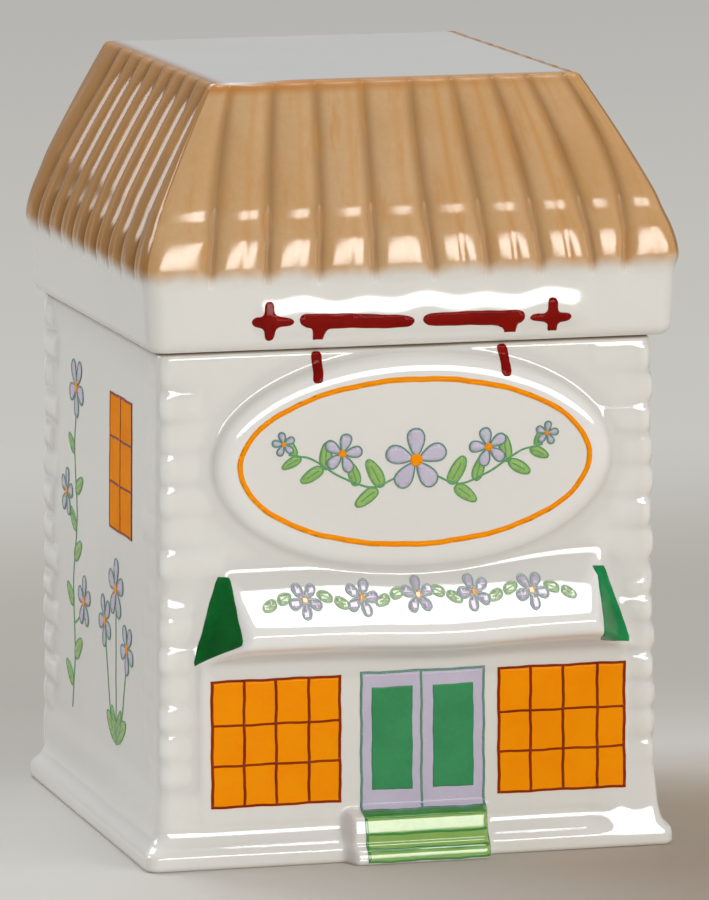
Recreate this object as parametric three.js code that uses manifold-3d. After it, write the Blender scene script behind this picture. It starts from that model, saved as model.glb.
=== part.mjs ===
// A glazed porcelain spice jar in the shape of a small corner shop, in millimetres, +Z up.
// The house is the jar: plinth, brick corners, raised oval sign, awning, shop front and steps.
// The ribbed mansard roof is the lid, with a round plug and a soft ring that seal the mouth.
// The shop faces -Y. The origin is under the middle of the bounding box, on the table.

import * as THREE from 'three';
import { mergeVertices } from 'three/addons/utils/BufferGeometryUtils.js';
import Module from 'manifold-3d';

const wasm = await Module();
wasm.setup();

// House body
const bodyHeight = 58.5;
const wallHalf = 28.7;
const wallDraft = 0.4;
const wallThick = 3.2;
const wallCorner = 1.6;
const rimEdge = 0.4;
const floorThick = 3.2;
const deckThick = 3.2;
const cavityCorner = 5;
const mouthRing = 6.7;
const footRecess = 0.6;
const footRim = 5;

// Plinth, from the table up
const lipProud = 1.85;
const lipHeight = 2.1;
const lipEdge = 0.5;
const coveRise = 3;
const courseProud = 0.45;
const courseTop = 8.8;

// Brick corners
const brickProud = 0.3;
const brickCorner = 1.3;
const brickJoint = 0.45;
const brickLong = 7.6;
const brickShort = 4.8;
const upperCourses = 7;
const lowerCourses = 7;
const storeyHeight = 33;
const storeyGap = 0.8;
const pilasterWidth = 4;
const pilasterProud = 0.6;

// Raised oval sign, centred between the awning and the rim
const signBelow = 0.8;
const signAbove = 1.7;
const signAside = 5.9;
const signFlare = 1.3;
const signProud = 1.3;
const ringAside = 0.9;
const ringAbove = 0.55;
const ringStroke = 0.62;

// Awning under the upper storey, from its top down
const awningReach = 5.6;
const awningSlope = 5.8;
const awningLip = 1.8;
const awningUnder = 2.3;
const awningAside = 6.9;
const awningSpread = 3.6;
const awningTaper = 3.76;

// Shop front panel between the pilasters
const shopAside = 3.8;
const shopLap = 1.1;
const shopBelow = 1;
const shopProud = 0.85;

// Steps at the door
const stepHalfWidth = 8.1;
const upperStepTop = 5.6;
const upperStepProud = 3.3;
const lowerStepTop = 2.4;
const lowerStepProud = 4.6;

// Lid
const bandHeight = 9.1;
const bandProud = 1.9;
const bandRound = 2.1;
const bandCorner = 2.2;
const roofRise = 20.2;
const eaveProud = 0.25;
const sideInset = 9.8;
const frontInset = 8.1;
const backInset = 1.25;
const roofBend = 1.35;
const roofCorner = 0.8;
const topEdge = 0.9;
const lidWall = 3;
const lidDeck = 3.2;
const ribReach = 4;
const cornerRibEave = 6.45;
const cornerRibTop = 2.25;
const cornerRibSide = 4.575;
const grooveWidth = 1.9;
const grooveDepth = 0.55;

// Plug under the lid and the soft ring round it
const plugClear = 1.4;
const plugWall = 2.8;
const plugDepth = 7;
const waistDepth = 0.9;
const waistTop = 1.4;
const waistHeight = 4;
const sealClear = 0.3;
const sealMouthClear = 0.15;
const finCount = 3;
const finDepth = 0.55;

// Fired colours stand on the glaze as thin layers
const enamel = 0.12;
const enamelLine = 0.08;
const enamelGap = 0.02;
const lineWidth = 0.3;
const edgeMargin = 0.35;
const windowAbove = 1.9;
const windowBelow = 1.3;
const windowAside = 0.8;
const windowFromStep = 1.2;
const windowColumns = 4;
const windowRows = 3;
const doorAside = 0.95;
const doorAbove = 1.7;
const doorStile = 1.2;
const doorPanelRise = 2.2;
const doorPanelDrop = 1.7;
const stepPaintAside = 0.9;
const stepPaintFoot = 0.4;
const sideWindowNear = 5.3;
const sideWindowWidth = 10.6;
const sideWindowFootShare = 0.1;
const sideWindowHeadShare = 0.706;
const sideWindowColumns = 2;
const sideWindowRows = 3;
const hangerHeight = 3.15;
const hangerThick = 1.3;
const hangerNear = 0.5;
const hangerLong = 12.5;
const crossApart = 3.4;
const crossReach = 2.3;
const crossStroke = 1.1;
const postInside = 2;
const postWidth = 1.25;
const postGap = 0.1;

// Counts of facets
const arcSteps = 3;
const coveSteps = 4;
const roundSteps = 5;
const roofRings = 6;
const ovalSteps = 48;
const bandRings = 4;
const overrun = 1;

const quarter = Math.PI / 2;

// The house
const wallFootHalf = wallHalf + wallDraft;
const plinthHalf = wallFootHalf + lipProud;
const frontWall = -wallHalf;
const mouthRadius = wallHalf - mouthRing;
const upperStorey = bodyHeight - storeyHeight;
const awningTop = storeyHeight;
const awningLipTop = awningTop - awningSlope;
const awningLipFoot = awningLipTop - awningLip;
const awningFoot = awningLipFoot - awningUnder;
const awningHalf = wallHalf - awningAside;
const signHalfWidth = wallHalf - signAside - signFlare;
const signHalfHeight = (bodyHeight - signAbove - awningTop - signBelow) / 2 - signFlare;
const signHeight = awningTop + signBelow + signFlare + signHalfHeight;
const signFace = wallHalf + signProud;
const ringHalfWidth = signHalfWidth - ringAside;
const ringHalfHeight = signHalfHeight - ringAbove;
const shopHalfWidth = wallHalf - shopAside;
const shopHead = awningFoot + shopLap;
const shopFoot = upperStepTop - shopBelow;
const shopFace = wallHalf + shopProud;

// The lid
const bandHalf = wallHalf + bandProud;
const eaveHalf = bandHalf + eaveProud;
const eaveHeight = bodyHeight + bandHeight;
const totalHeight = eaveHeight + roofRise;
const ribPitchEave = (eaveHalf - cornerRibEave) / ribReach;
const ribPitchTop = (eaveHalf - sideInset - cornerRibTop) / ribReach;
const sidePitchTop = (eaveHalf - (frontInset + backInset) / 2 - cornerRibSide) / ribReach;
const plugRadius = mouthRadius - plugClear;
const plugBore = plugRadius - plugWall;

// The fired colours
const windowFoot = upperStepTop + windowBelow;
const windowHead = awningFoot - windowAbove;
const windowInner = stepHalfWidth + windowFromStep;
const windowOuter = shopHalfWidth - windowAside;
const doorHalfWidth = stepHalfWidth - doorAside;
const doorHead = awningFoot - doorAbove;
const stepPaintHalf = stepHalfWidth - stepPaintAside;
const sideWindowFar = sideWindowNear + sideWindowWidth;
const sideWindowFoot = storeyHeight + upperStorey * sideWindowFootShare;
const sideWindowHead = storeyHeight + upperStorey * sideWindowHeadShare;
const hangerFar = hangerNear + hangerLong;
const crossPlace = hangerFar + crossApart;
const postPlace = hangerFar - postInside;

function finish(name, color, roughness = 0.12, metalness = 0) {
  return new THREE.MeshStandardMaterial({ name, color, roughness, metalness });
}

const porcelain = finish('white_porcelain', 0xf1eee9);
const glazedLid = finish('tan_and_white_porcelain', 0xc99f6c);
const softSeal = finish('soft_seal', 0xdcdcd4, 0.5);
const orangeEnamel = finish('orange_enamel', 0xfa9405);
const lineEnamel = finish('red_brown_enamel', 0x8f2608);
const redEnamel = finish('red_enamel', 0x9a1109);
const greenEnamel = finish('green_enamel', 0x0d7a36);
const panelEnamel = finish('door_green_enamel', 0x3f9562);
const lilacEnamel = finish('lilac_enamel', 0xbbb0c9);
const tealEnamel = finish('teal_enamel', 0x4f8d78);
const stepEnamel = finish('light_green_enamel', 0x9dc36a);

// How far the plain wall stands from the middle at a given height
function wallAt(height) {
  return wallFootHalf - wallDraft * (height - courseTop) / (bodyHeight - courseTop);
}

// Closed surface through a stack of rings that each hold the same number of points
function loft(rings) {
  const count = rings[0].length;
  const positions = [];
  const index = [];
  for (const ring of rings) {
    for (const point of ring) positions.push(point.x, point.y, point.z);
  }
  for (let level = 0; level < rings.length - 1; level += 1) {
    for (let i = 0; i < count; i += 1) {
      const next = (i + 1) % count;
      const a = level * count + i;
      const b = level * count + next;
      index.push(a, b, b + count, a, b + count, a + count);
    }
  }
  const caps = [rings[0], rings[rings.length - 1]];
  caps.forEach((ring, side) => {
    const middle = new THREE.Vector3();
    for (const point of ring) middle.add(point);
    middle.divideScalar(count);
    const centre = positions.length / 3;
    const start = side * (rings.length - 1) * count;
    positions.push(middle.x, middle.y, middle.z);
    for (let i = 0; i < count; i += 1) {
      const a = start + i;
      const b = start + (i + 1) % count;
      if (side) index.push(centre, a, b);
      else index.push(centre, b, a);
    }
  });
  const geometry = new THREE.BufferGeometry();
  geometry.setAttribute('position', new THREE.Float32BufferAttribute(positions, 3));
  geometry.setIndex(index);
  return geometry;
}

function solid(geometry) {
  const plain = geometry.clone();
  plain.deleteAttribute('normal');
  plain.deleteAttribute('uv');
  const merged = mergeVertices(plain);
  return new wasm.Manifold(new wasm.Mesh({
    numProp: 3,
    vertProperties: new Float32Array(merged.getAttribute('position').array),
    triVerts: new Uint32Array(merged.getIndex().array),
  }));
}

function facets(body) {
  const mesh = body.getMesh();
  const geometry = new THREE.BufferGeometry();
  geometry.setAttribute('position', new THREE.BufferAttribute(mesh.vertProperties, 3));
  geometry.setIndex(new THREE.BufferAttribute(mesh.triVerts, 1));
  return geometry;
}

function joined(first, rest) {
  return rest.reduce((body, piece) => body.add(piece), first);
}

// One horizontal ring of a box with round corners; grooves may notch its four sides
function ring(plan, height, groove) {
  const { left, right, front, back, corner } = plan;
  const sides = [
    { at: [left, front], along: [1, 0], out: [0, -1], length: right - left, turn: -quarter },
    { at: [right, front], along: [0, 1], out: [1, 0], length: back - front, turn: 0 },
    { at: [right, back], along: [-1, 0], out: [0, 1], length: right - left, turn: quarter },
    { at: [left, back], along: [0, -1], out: [-1, 0], length: back - front, turn: 2 * quarter },
  ];
  const points = [];
  sides.forEach((side, number) => {
    const put = (along, inward) => points.push(new THREE.Vector3(
      side.at[0] + side.along[0] * along - side.out[0] * inward,
      side.at[1] + side.along[1] * along - side.out[1] * inward,
      height,
    ));
    put(corner, 0);
    if (groove) {
      for (let rib = -ribReach; rib <= ribReach; rib += 1) {
        const middle = side.length / 2 + rib * groove.pitches[number % 2];
        put(middle - groove.width / 2, 0);
        put(middle, groove.depth);
        put(middle + groove.width / 2, 0);
      }
    }
    for (let step = 0; step < arcSteps; step += 1) {
      const angle = side.turn + quarter * step / arcSteps;
      points.push(new THREE.Vector3(
        side.at[0] + side.along[0] * (side.length - corner) - side.out[0] * corner + corner * Math.cos(angle),
        side.at[1] + side.along[1] * (side.length - corner) - side.out[1] * corner + corner * Math.sin(angle),
        height,
      ));
    }
  });
  return points;
}

function square(half, corner) {
  return { left: -half, right: half, front: -half, back: half, corner };
}

// Upright block with rounded vertical edges
function block(left, right, front, back, foot, head, corner) {
  const plan = { left, right, front, back, corner };
  return solid(loft([ring(plan, foot), ring(plan, head)]));
}

function rod(radius, foot, head) {
  const height = head - foot;
  const geometry = new THREE.CylinderGeometry(radius, radius, height, ovalSteps);
  return solid(geometry.rotateX(quarter).translate(0, 0, foot + height / 2));
}

// Moves a drawing made in X and Y onto the front wall, facing -Y, and lays it on the wall's slope
function onFront(geometry, standoff) {
  geometry.rotateX(quarter);
  const spots = geometry.getAttribute('position');
  for (let i = 0; i < spots.count; i += 1) {
    spots.setY(i, spots.getY(i) - standoff(spots.getZ(i)));
  }
  return geometry;
}

function extrude(shape, thick) {
  const options = { depth: thick, bevelEnabled: false, curveSegments: ovalSteps / 2 };
  return new THREE.ExtrudeGeometry(shape, options);
}

function rectangle(left, right, foot, head) {
  const shape = new THREE.Shape();
  shape.moveTo(left, foot);
  shape.lineTo(right, foot);
  shape.lineTo(right, head);
  shape.lineTo(left, head);
  shape.closePath();
  return shape;
}

// Frame and glazing bars as one sheet with an opening for each pane
function glazing(left, right, foot, head, columns, rows) {
  let sheet = solid(extrude(rectangle(left, right, foot, head), enamelLine));
  const wide = (right - left - lineWidth) / columns;
  const tall = (head - foot - lineWidth) / rows;
  for (let column = 0; column < columns; column += 1) {
    for (let row = 0; row < rows; row += 1) {
      const x = left + lineWidth + column * wide;
      const z = foot + lineWidth + row * tall;
      const pane = extrude(rectangle(x, x + wide - lineWidth, z, z + tall - lineWidth), 3 * enamelLine);
      sheet = sheet.subtract(solid(pane.translate(0, 0, -enamelLine)));
    }
  }
  return facets(sheet);
}

// Outer form of the plinth and the walls
function houseShell() {
  const rings = [
    ring(square(plinthHalf - lipEdge, wallCorner), 0),
    ring(square(plinthHalf, wallCorner), lipEdge),
  ];
  for (let step = 0; step <= coveSteps; step += 1) {
    const angle = quarter * step / coveSteps;
    const proud = courseProud + (lipProud - courseProud) * (1 - Math.sin(angle));
    const height = lipHeight + coveRise * (1 - Math.cos(angle));
    rings.push(ring(square(wallFootHalf + proud, wallCorner), height));
  }
  rings.push(ring(square(wallFootHalf + courseProud, wallCorner), courseTop));
  rings.push(ring(square(wallFootHalf, wallCorner), courseTop + courseProud));
  rings.push(ring(square(wallHalf, wallCorner), bodyHeight - rimEdge));
  rings.push(ring(square(wallHalf - rimEdge, wallCorner), bodyHeight));
  return solid(loft(rings));
}

// One course of bricks wraps all four corners; alternate courses swap their long and short sides
function brickCourse(foot, head, alongFront, alongSide, proud) {
  const bricks = [];
  const outer = wallAt((foot + head) / 2) + proud;
  for (const x of [-1, 1]) {
    for (const y of [-1, 1]) {
      const sides = [x * outer, x * (outer - alongFront)];
      const ends = [y * outer, y * (outer - alongSide)];
      bricks.push(block(Math.min(...sides), Math.max(...sides), Math.min(...ends), Math.max(...ends),
        foot, head, brickCorner));
    }
  }
  return bricks;
}

function brickCorners() {
  const bricks = [];
  const upperPitch = (upperStorey - rimEdge) / upperCourses;
  for (let course = 0; course < upperCourses; course += 1) {
    const foot = storeyHeight + course * upperPitch;
    const [front, side] = course % 2 ? [brickShort, brickLong] : [brickLong, brickShort];
    bricks.push(...brickCourse(foot, foot + upperPitch - brickJoint, front, side, brickProud));
  }
  const lowerFoot = courseTop + courseProud;
  const lowerPitch = (storeyHeight - storeyGap - lowerFoot) / lowerCourses;
  for (let course = 0; course < lowerCourses; course += 1) {
    const foot = lowerFoot + course * lowerPitch;
    const side = course % 2 ? brickShort : brickLong;
    bricks.push(...brickCourse(foot, foot + lowerPitch - brickJoint, pilasterWidth, side, brickProud));
  }
  return bricks;
}

// Rounded column on the front at each corner of the ground floor
function pilasters() {
  return [-1, 1].map((side) => {
    const outer = wallHalf;
    const edges = [side * outer, side * (outer - pilasterWidth)];
    return block(Math.min(...edges), Math.max(...edges), frontWall - pilasterProud, frontWall + wallThick / 2,
      courseTop, storeyHeight - storeyGap, pilasterProud);
  });
}

function oval(halfWidth, halfHeight, depth) {
  const points = [];
  for (let step = 0; step < ovalSteps; step += 1) {
    const angle = 2 * Math.PI * step / ovalSteps;
    points.push(new THREE.Vector3(halfWidth * Math.cos(angle), halfHeight * Math.sin(angle), depth));
  }
  return points;
}

function signBoss() {
  const geometry = loft([
    oval(signHalfWidth + signFlare, signHalfHeight + signFlare, -wallThick / 2),
    oval(signHalfWidth + signFlare, signHalfHeight + signFlare, wallDraft / 2),
    oval(signHalfWidth, signHalfHeight, signProud),
  ]);
  geometry.rotateX(quarter).translate(0, frontWall, signHeight);
  return solid(geometry);
}

// The awning's ends are one flat plane each: wider towards the foot, narrower towards the lip
function awningEnd(reach, height) {
  const drop = (awningTop - height) / (awningTop - awningFoot);
  return awningHalf + awningSpread * drop - awningTaper * reach / awningReach;
}

function awningRing(side) {
  const corners = [
    [-wallThick / 2, awningFoot],
    [0, awningFoot],
    [awningReach, awningLipFoot],
    [awningReach, awningLipTop],
    [0, awningTop],
    [-wallThick / 2, awningTop],
  ];
  return corners.map(([reach, height]) => new THREE.Vector3(
    side * awningEnd(reach, height), frontWall - reach, height));
}

function awning() {
  return solid(loft([awningRing(1), awningRing(-1)]));
}

function stepBlocks() {
  return [
    block(-stepHalfWidth, stepHalfWidth, frontWall - upperStepProud, frontWall, 0, upperStepTop, lipEdge),
    block(-stepHalfWidth, stepHalfWidth, frontWall - lowerStepProud, frontWall, 0, lowerStepTop, lipEdge),
  ];
}

function jarBody() {
  const shop = block(-shopHalfWidth, shopHalfWidth, -shopFace, frontWall + wallThick / 2,
    shopFoot, shopHead, lipEdge);
  const outside = joined(houseShell(), [
    ...brickCorners(), ...pilasters(), shop, signBoss(), awning(), ...stepBlocks(),
  ]);
  const cavityHalf = wallHalf - wallThick;
  const cavity = block(-cavityHalf, cavityHalf, -cavityHalf, cavityHalf,
    floorThick + footRecess, bodyHeight - deckThick, cavityCorner);
  const recessHalf = plinthHalf - footRim;
  const recess = block(-recessHalf, recessHalf, -recessHalf, recessHalf, -overrun, footRecess, cavityCorner);
  const mouth = rod(mouthRadius, bodyHeight - deckThick - overrun, bodyHeight + overrun);
  return facets(outside.subtract(cavity).subtract(mouth).subtract(recess));
}

// Plan of the roof at a share of its rise, from 0 at the eave to 1 at the top plate
function roofPlan(share, inward) {
  const bend = share ** roofBend;
  const half = eaveHalf - sideInset * bend - inward;
  return {
    left: -half,
    right: half,
    front: -(eaveHalf - frontInset * bend - inward),
    back: eaveHalf - backInset * bend - inward,
    corner: bandCorner + (roofCorner - bandCorner) * share,
  };
}

function roofGroove(share) {
  const run = ribPitchTop / ribPitchEave;
  return {
    pitches: [
      ribPitchEave + (ribPitchTop - ribPitchEave) * share,
      ribPitchEave + (sidePitchTop - ribPitchEave) * share,
    ],
    width: grooveWidth * (1 + (run - 1) * share),
    depth: grooveDepth,
  };
}

// White band below the eave, rounded in at its foot
function band() {
  const rings = [];
  for (let step = 0; step <= roundSteps; step += 1) {
    const angle = quarter * step / roundSteps;
    const half = bandHalf - bandRound * (1 - Math.sin(angle));
    rings.push(ring(square(half, bandCorner), bodyHeight + bandRound * (1 - Math.cos(angle))));
  }
  rings.push(ring(square(bandHalf, bandCorner), eaveHeight));
  return solid(loft(rings));
}

// Ribbed roof, closed underneath inside the band
function roof() {
  const eave = roofGroove(0);
  const underEave = roofPlan(0, eaveProud + grooveDepth);
  const rings = [ring(underEave, eaveHeight - grooveDepth, { ...eave, depth: 0 })];
  for (let level = 0; level < roofRings; level += 1) {
    const share = level / roofRings;
    rings.push(ring(roofPlan(share, 0), eaveHeight + roofRise * share, roofGroove(share)));
  }
  const last = 1 - topEdge / roofRise;
  rings.push(ring(roofPlan(last, 0), totalHeight - topEdge, roofGroove(last)));
  rings.push(ring(roofPlan(1, topEdge / 2), totalHeight, { ...roofGroove(1), depth: 0 }));
  return solid(loft(rings));
}

function lidHollow() {
  const rings = [];
  const foot = (lidDeck - bandHeight) / roofRise;
  const head = 1 - lidWall / roofRise;
  for (let level = 0; level <= bandRings; level += 1) {
    const share = foot + (head - foot) * level / bandRings;
    const plan = roofPlan(Math.max(share, 0), lidWall + grooveDepth);
    rings.push(ring({ ...plan, corner: bandCorner }, eaveHeight + roofRise * share));
  }
  return solid(loft(rings));
}

function lid() {
  const plugFoot = bodyHeight - plugDepth;
  const waistHead = bodyHeight - waistTop;
  const plug = rod(plugRadius, plugFoot, bodyHeight + lidDeck / 2);
  const waist = rod(plugRadius + overrun, waistHead - waistHeight, waistHead)
    .subtract(rod(plugRadius - waistDepth, waistHead - waistHeight - overrun, waistHead + overrun));
  const bore = rod(plugBore, plugFoot - overrun, bodyHeight + lidDeck + overrun);
  return facets(joined(roof(), [band(), plug]).subtract(waist).subtract(lidHollow()).subtract(bore));
}

// Soft ring in the plug's waist, with round fins that press on the mouth
function seal() {
  const inner = plugRadius - waistDepth + sealClear;
  const outer = mouthRadius - sealMouthClear;
  const foot = bodyHeight - waistTop - waistHeight + sealClear;
  const head = bodyHeight - waistTop - sealClear;
  const profile = [new THREE.Vector2(inner, foot), new THREE.Vector2(outer - finDepth, foot)];
  const pitch = (head - foot) / finCount;
  for (let fin = 0; fin < finCount; fin += 1) {
    profile.push(new THREE.Vector2(outer, foot + pitch * (fin + 1 / 2)));
    profile.push(new THREE.Vector2(outer - finDepth, foot + pitch * (fin + 1)));
  }
  profile.push(new THREE.Vector2(inner, head), new THREE.Vector2(inner, foot));
  return facets(solid(new THREE.LatheGeometry(profile, ovalSteps).rotateX(quarter)));
}

// A flat polygon in space, laid clear of its face and given a thickness along the face's normal
function slab(corners, standoff, thick) {
  const normal = new THREE.Vector3().crossVectors(
    corners[1].clone().sub(corners[0]), corners[2].clone().sub(corners[0])).normalize();
  const lifted = (lift) => corners.map((corner) => corner.clone().addScaledVector(normal, lift));
  return loft([lifted(standoff), lifted(standoff + thick)]);
}

function awningEndPaint(side) {
  const share = shopProud / awningReach;
  const spots = [
    [shopProud, awningFoot + (awningLipFoot - awningFoot) * share],
    [awningReach, awningLipFoot],
    [awningReach, awningLipTop],
    [shopProud, awningTop + (awningLipTop - awningTop) * share],
  ].map((spot) => new THREE.Vector2(...spot));
  const middle = new THREE.Vector2();
  for (const spot of spots) middle.addScaledVector(spot, 1 / spots.length);
  const corners = spots.map((spot) => {
    const pulled = spot.clone().lerp(middle, edgeMargin / middle.distanceTo(spot));
    return new THREE.Vector3(side * awningEnd(pulled.x, pulled.y), frontWall - pulled.x, pulled.y);
  });
  return slab(side > 0 ? corners.reverse() : corners, enamelGap, enamel);
}

function onShop(layer, standoff) {
  return onFront(layer, () => shopFace + standoff);
}

function onWall(layer, standoff) {
  return onFront(layer, (height) => wallAt(height) + enamelGap + standoff);
}

function patch(left, right, foot, head) {
  return extrude(rectangle(left, right, foot, head), enamel);
}

function signRing() {
  const outline = new THREE.Shape().absellipse(0, signHeight, ringHalfWidth, ringHalfHeight, 0, 4 * quarter);
  outline.holes.push(new THREE.Path().absellipse(
    0, signHeight, ringHalfWidth - ringStroke, ringHalfHeight - ringStroke, 0, 4 * quarter));
  return onFront(extrude(outline, enamel), () => signFace);
}

// Two long bars and two small crosses on the lid's band; a post below each bar on the wall
function hangerBar(side) {
  const height = bodyHeight + hangerHeight;
  const edges = [side * hangerNear, side * hangerFar];
  const foot = height - hangerThick / 2;
  const bar = patch(Math.min(...edges), Math.max(...edges), foot, foot + hangerThick);
  return onFront(bar, () => bandHalf);
}

function hangerCross(side) {
  const x = side * crossPlace;
  const height = bodyHeight + hangerHeight;
  const arm = crossStroke / 2;
  const drop = hangerHeight - bandRound;
  const shape = new THREE.Shape([
    [-crossReach, -arm], [-arm, -arm], [-arm, -drop], [arm, -drop], [arm, -arm], [crossReach, -arm],
    [crossReach, arm], [arm, arm], [arm, crossReach], [-arm, crossReach], [-arm, arm], [-crossReach, arm],
  ].map(([u, v]) => new THREE.Vector2(x + u, height + v)));
  return onFront(extrude(shape, enamel), () => bandHalf);
}

function hangerPost(side) {
  const x = side * postPlace;
  const inner = (postPlace - postWidth / 2) / (signHalfWidth + signFlare);
  const foot = signHeight + (signHalfHeight + signFlare) * Math.sqrt(1 - inner ** 2) + postGap;
  return onWall(patch(x - postWidth / 2, x + postWidth / 2, foot, bodyHeight - rimEdge), 0);
}

function stepPaint() {
  const treads = [
    [shopFace - wallHalf, upperStepTop],
    [upperStepProud, upperStepTop],
    [upperStepProud, lowerStepTop],
    [lowerStepProud, lowerStepTop],
    [lowerStepProud, stepPaintFoot],
  ];
  const lower = treads.map(([reach, height]) => new THREE.Vector2(reach, height));
  const upper = lower.map((spot, number) => new THREE.Vector2(
    spot.x + (number ? enamel : 0), spot.y + (number < lower.length - 1 ? enamel : 0)));
  const shape = new THREE.Shape([...lower, ...upper.reverse()]);
  const strip = extrude(shape, 2 * stepPaintHalf);
  strip.translate(0, 0, -stepPaintHalf).rotateX(quarter).rotateZ(-quarter).translate(0, frontWall, 0);
  return strip;
}

function doorLeaves() {
  return patch(-doorHalfWidth, doorHalfWidth, upperStepTop + enamel, doorHead);
}

function doorOutline() {
  const foot = upperStepTop + enamel;
  return glazing(-doorHalfWidth, doorHalfWidth, foot, doorHead, 2, 1);
}

function doorPanel(side) {
  const edges = [side * doorStile, side * (doorHalfWidth - doorStile)];
  const foot = upperStepTop + enamel + doorPanelRise;
  return patch(Math.min(...edges), Math.max(...edges), foot, doorHead - doorPanelDrop);
}

const jar = new THREE.Group();

function add(name, geometry, material) {
  const mesh = new THREE.Mesh(geometry, material);
  mesh.name = name;
  jar.add(mesh);
}

add('jar_body', jarBody(), porcelain);
add('lid', lid(), glazedLid);
add('lid_seal', seal(), softSeal);
add('sign_ring', signRing(), orangeEnamel);
add('door_leaves', onShop(doorLeaves(), 0), lilacEnamel);
add('door_outline', onShop(doorOutline(), enamel), tealEnamel);
add('door_steps_paint', stepPaint(), stepEnamel);

for (const [word, side] of [['left', -1], ['right', 1]]) {
  const edges = [side * windowInner, side * windowOuter];
  const shopPane = [Math.min(...edges), Math.max(...edges), windowFoot, windowHead];
  const shopBars = glazing(...shopPane, windowColumns, windowRows);
  add(`shop_window_${word}`, onShop(patch(...shopPane), 0), orangeEnamel);
  add(`shop_window_${word}_bars`, onShop(shopBars, enamel), lineEnamel);
  add(`door_panel_${word}`, onShop(doorPanel(side), enamel), panelEnamel);
  add(`awning_end_${word}`, awningEndPaint(side), greenEnamel);
  add(`hanger_bar_${word}`, hangerBar(side), redEnamel);
  add(`hanger_cross_${word}`, hangerCross(side), redEnamel);
  add(`hanger_post_${word}`, hangerPost(side), redEnamel);

  const reach = [-side * sideWindowNear, -side * sideWindowFar];
  const sidePane = [Math.min(...reach), Math.max(...reach), sideWindowFoot, sideWindowHead];
  const turned = side * quarter;
  const bars = glazing(...sidePane, sideWindowColumns, sideWindowRows);
  add(`side_window_${word}`, onWall(patch(...sidePane), 0).rotateZ(turned), orangeEnamel);
  add(`side_window_${word}_bars`, onWall(bars, enamel).rotateZ(turned), lineEnamel);
}

// The awning reaches further forward than the plinth does behind, so the middle moves back
jar.position.y = (wallHalf + awningReach - plinthHalf) / 2;

export default jar;
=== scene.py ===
# %% [markdown]
# # A porcelain spice jar in the shape of a corner shop
#
# The real jar is slip cast: liquid clay is poured into a plaster mould, so brick corners, sign,
# awning and steps all come out as one skin, and every edge is round. Then it is glazed, fired,
# printed with enamel colours and fired again. The lid is a second casting with ribs like roof tiles.
#
# A mould gives one height over every spot of a wall. So this lesson does the same: each wall is a
# height field, a grid of numbers that says how far the clay stands out, and the fields are blurred a
# little, as glaze blurs an edge. Box modelling would leave hard edges to bevel one by one.

import math

import bpy
import numpy as np
from mathutils import Matrix, Vector
from mathutils.geometry import delaunay_2d_cdt


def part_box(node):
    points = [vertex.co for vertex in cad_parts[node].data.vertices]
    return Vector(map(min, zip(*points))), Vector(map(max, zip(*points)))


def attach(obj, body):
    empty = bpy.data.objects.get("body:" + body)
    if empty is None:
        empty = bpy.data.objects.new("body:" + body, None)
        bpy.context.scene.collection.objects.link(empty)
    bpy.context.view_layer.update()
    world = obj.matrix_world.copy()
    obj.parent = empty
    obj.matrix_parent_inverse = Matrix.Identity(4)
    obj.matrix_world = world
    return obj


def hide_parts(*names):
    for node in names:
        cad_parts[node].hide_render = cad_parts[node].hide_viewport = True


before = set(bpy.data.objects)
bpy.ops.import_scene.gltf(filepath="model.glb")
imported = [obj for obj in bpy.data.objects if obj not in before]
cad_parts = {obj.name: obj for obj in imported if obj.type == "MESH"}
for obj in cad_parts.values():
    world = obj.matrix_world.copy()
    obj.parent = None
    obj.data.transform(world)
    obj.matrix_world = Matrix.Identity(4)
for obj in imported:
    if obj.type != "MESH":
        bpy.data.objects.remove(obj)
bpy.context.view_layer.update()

# %% [markdown]
# ## Sizes
#
# All sizes are in millimetres and become metres when a mesh is made. The large ones are read from
# the frame, so the skin fits the parts it stands for. The house has its own upright axis, a little
# behind the middle of the whole jar, because the awning reaches further forward than the foot.

# %% Sizes from the frame
MM = 0.001


def node_box(node):
    low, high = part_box(node)
    return low / MM, high / MM


jar_low, jar_high = node_box("jar_body")
lid_high = node_box("lid")[1]
seal_low, seal_high = node_box("lid_seal")
axis_y = (seal_low.y + seal_high.y) / 2
body_height = jar_high.z
total_height = lid_high.z
plinth_half = jar_high.x
eave_half = lid_high.x
front_reach = axis_y - jar_low.y
print(f"house axis y {axis_y:.3f}, body {body_height:.1f}, whole {total_height:.1f} high")

# %% Sizes of the house
wall_half = 28.7
wall_draft = 0.4
wall_corner = 1.6
course_top = 8.8
course_proud = 0.3
lip_proud = plinth_half - wall_half - wall_draft
lip_height = 2.1
lip_edge = 0.5
cove_rise = 3.0
storey = 33.0
rim_round = 0.9
deck_thick = 3.2
floor_high = 3.8
floor_round = 3.0
cavity_half = 25.5
cavity_corner = 5.0
mouth_radius = 22.0
foot_recess = 0.6
foot_tuck = 1.6
recess_half = 25.95
middle_radius = 4
soft_edge = 0.5
round_edge = 0.6
tuck = 1.5
print(f"lip stands {lip_proud:.2f} out, cavity {2 * cavity_half:.0f} wide")

# %% [markdown]
# ## Grids round a plan
#
# Body and lid are both lofts: a stack of rings that all hold the same number of columns, so every
# four neighbours make one face. A ring runs round a rounded square, side by side, from the corner
# between left and front. Half of each corner's arc belongs to the side before it, half to the next.

# %% Columns and rings
OUT = np.array([[0, -1], [1, 0], [0, 1], [-1, 0]], float)
ALONG = np.array([[1, 0], [0, 1], [-1, 0], [0, -1]], float)
FRONT, RIGHT, BACK, LEFT = range(4)


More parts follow.
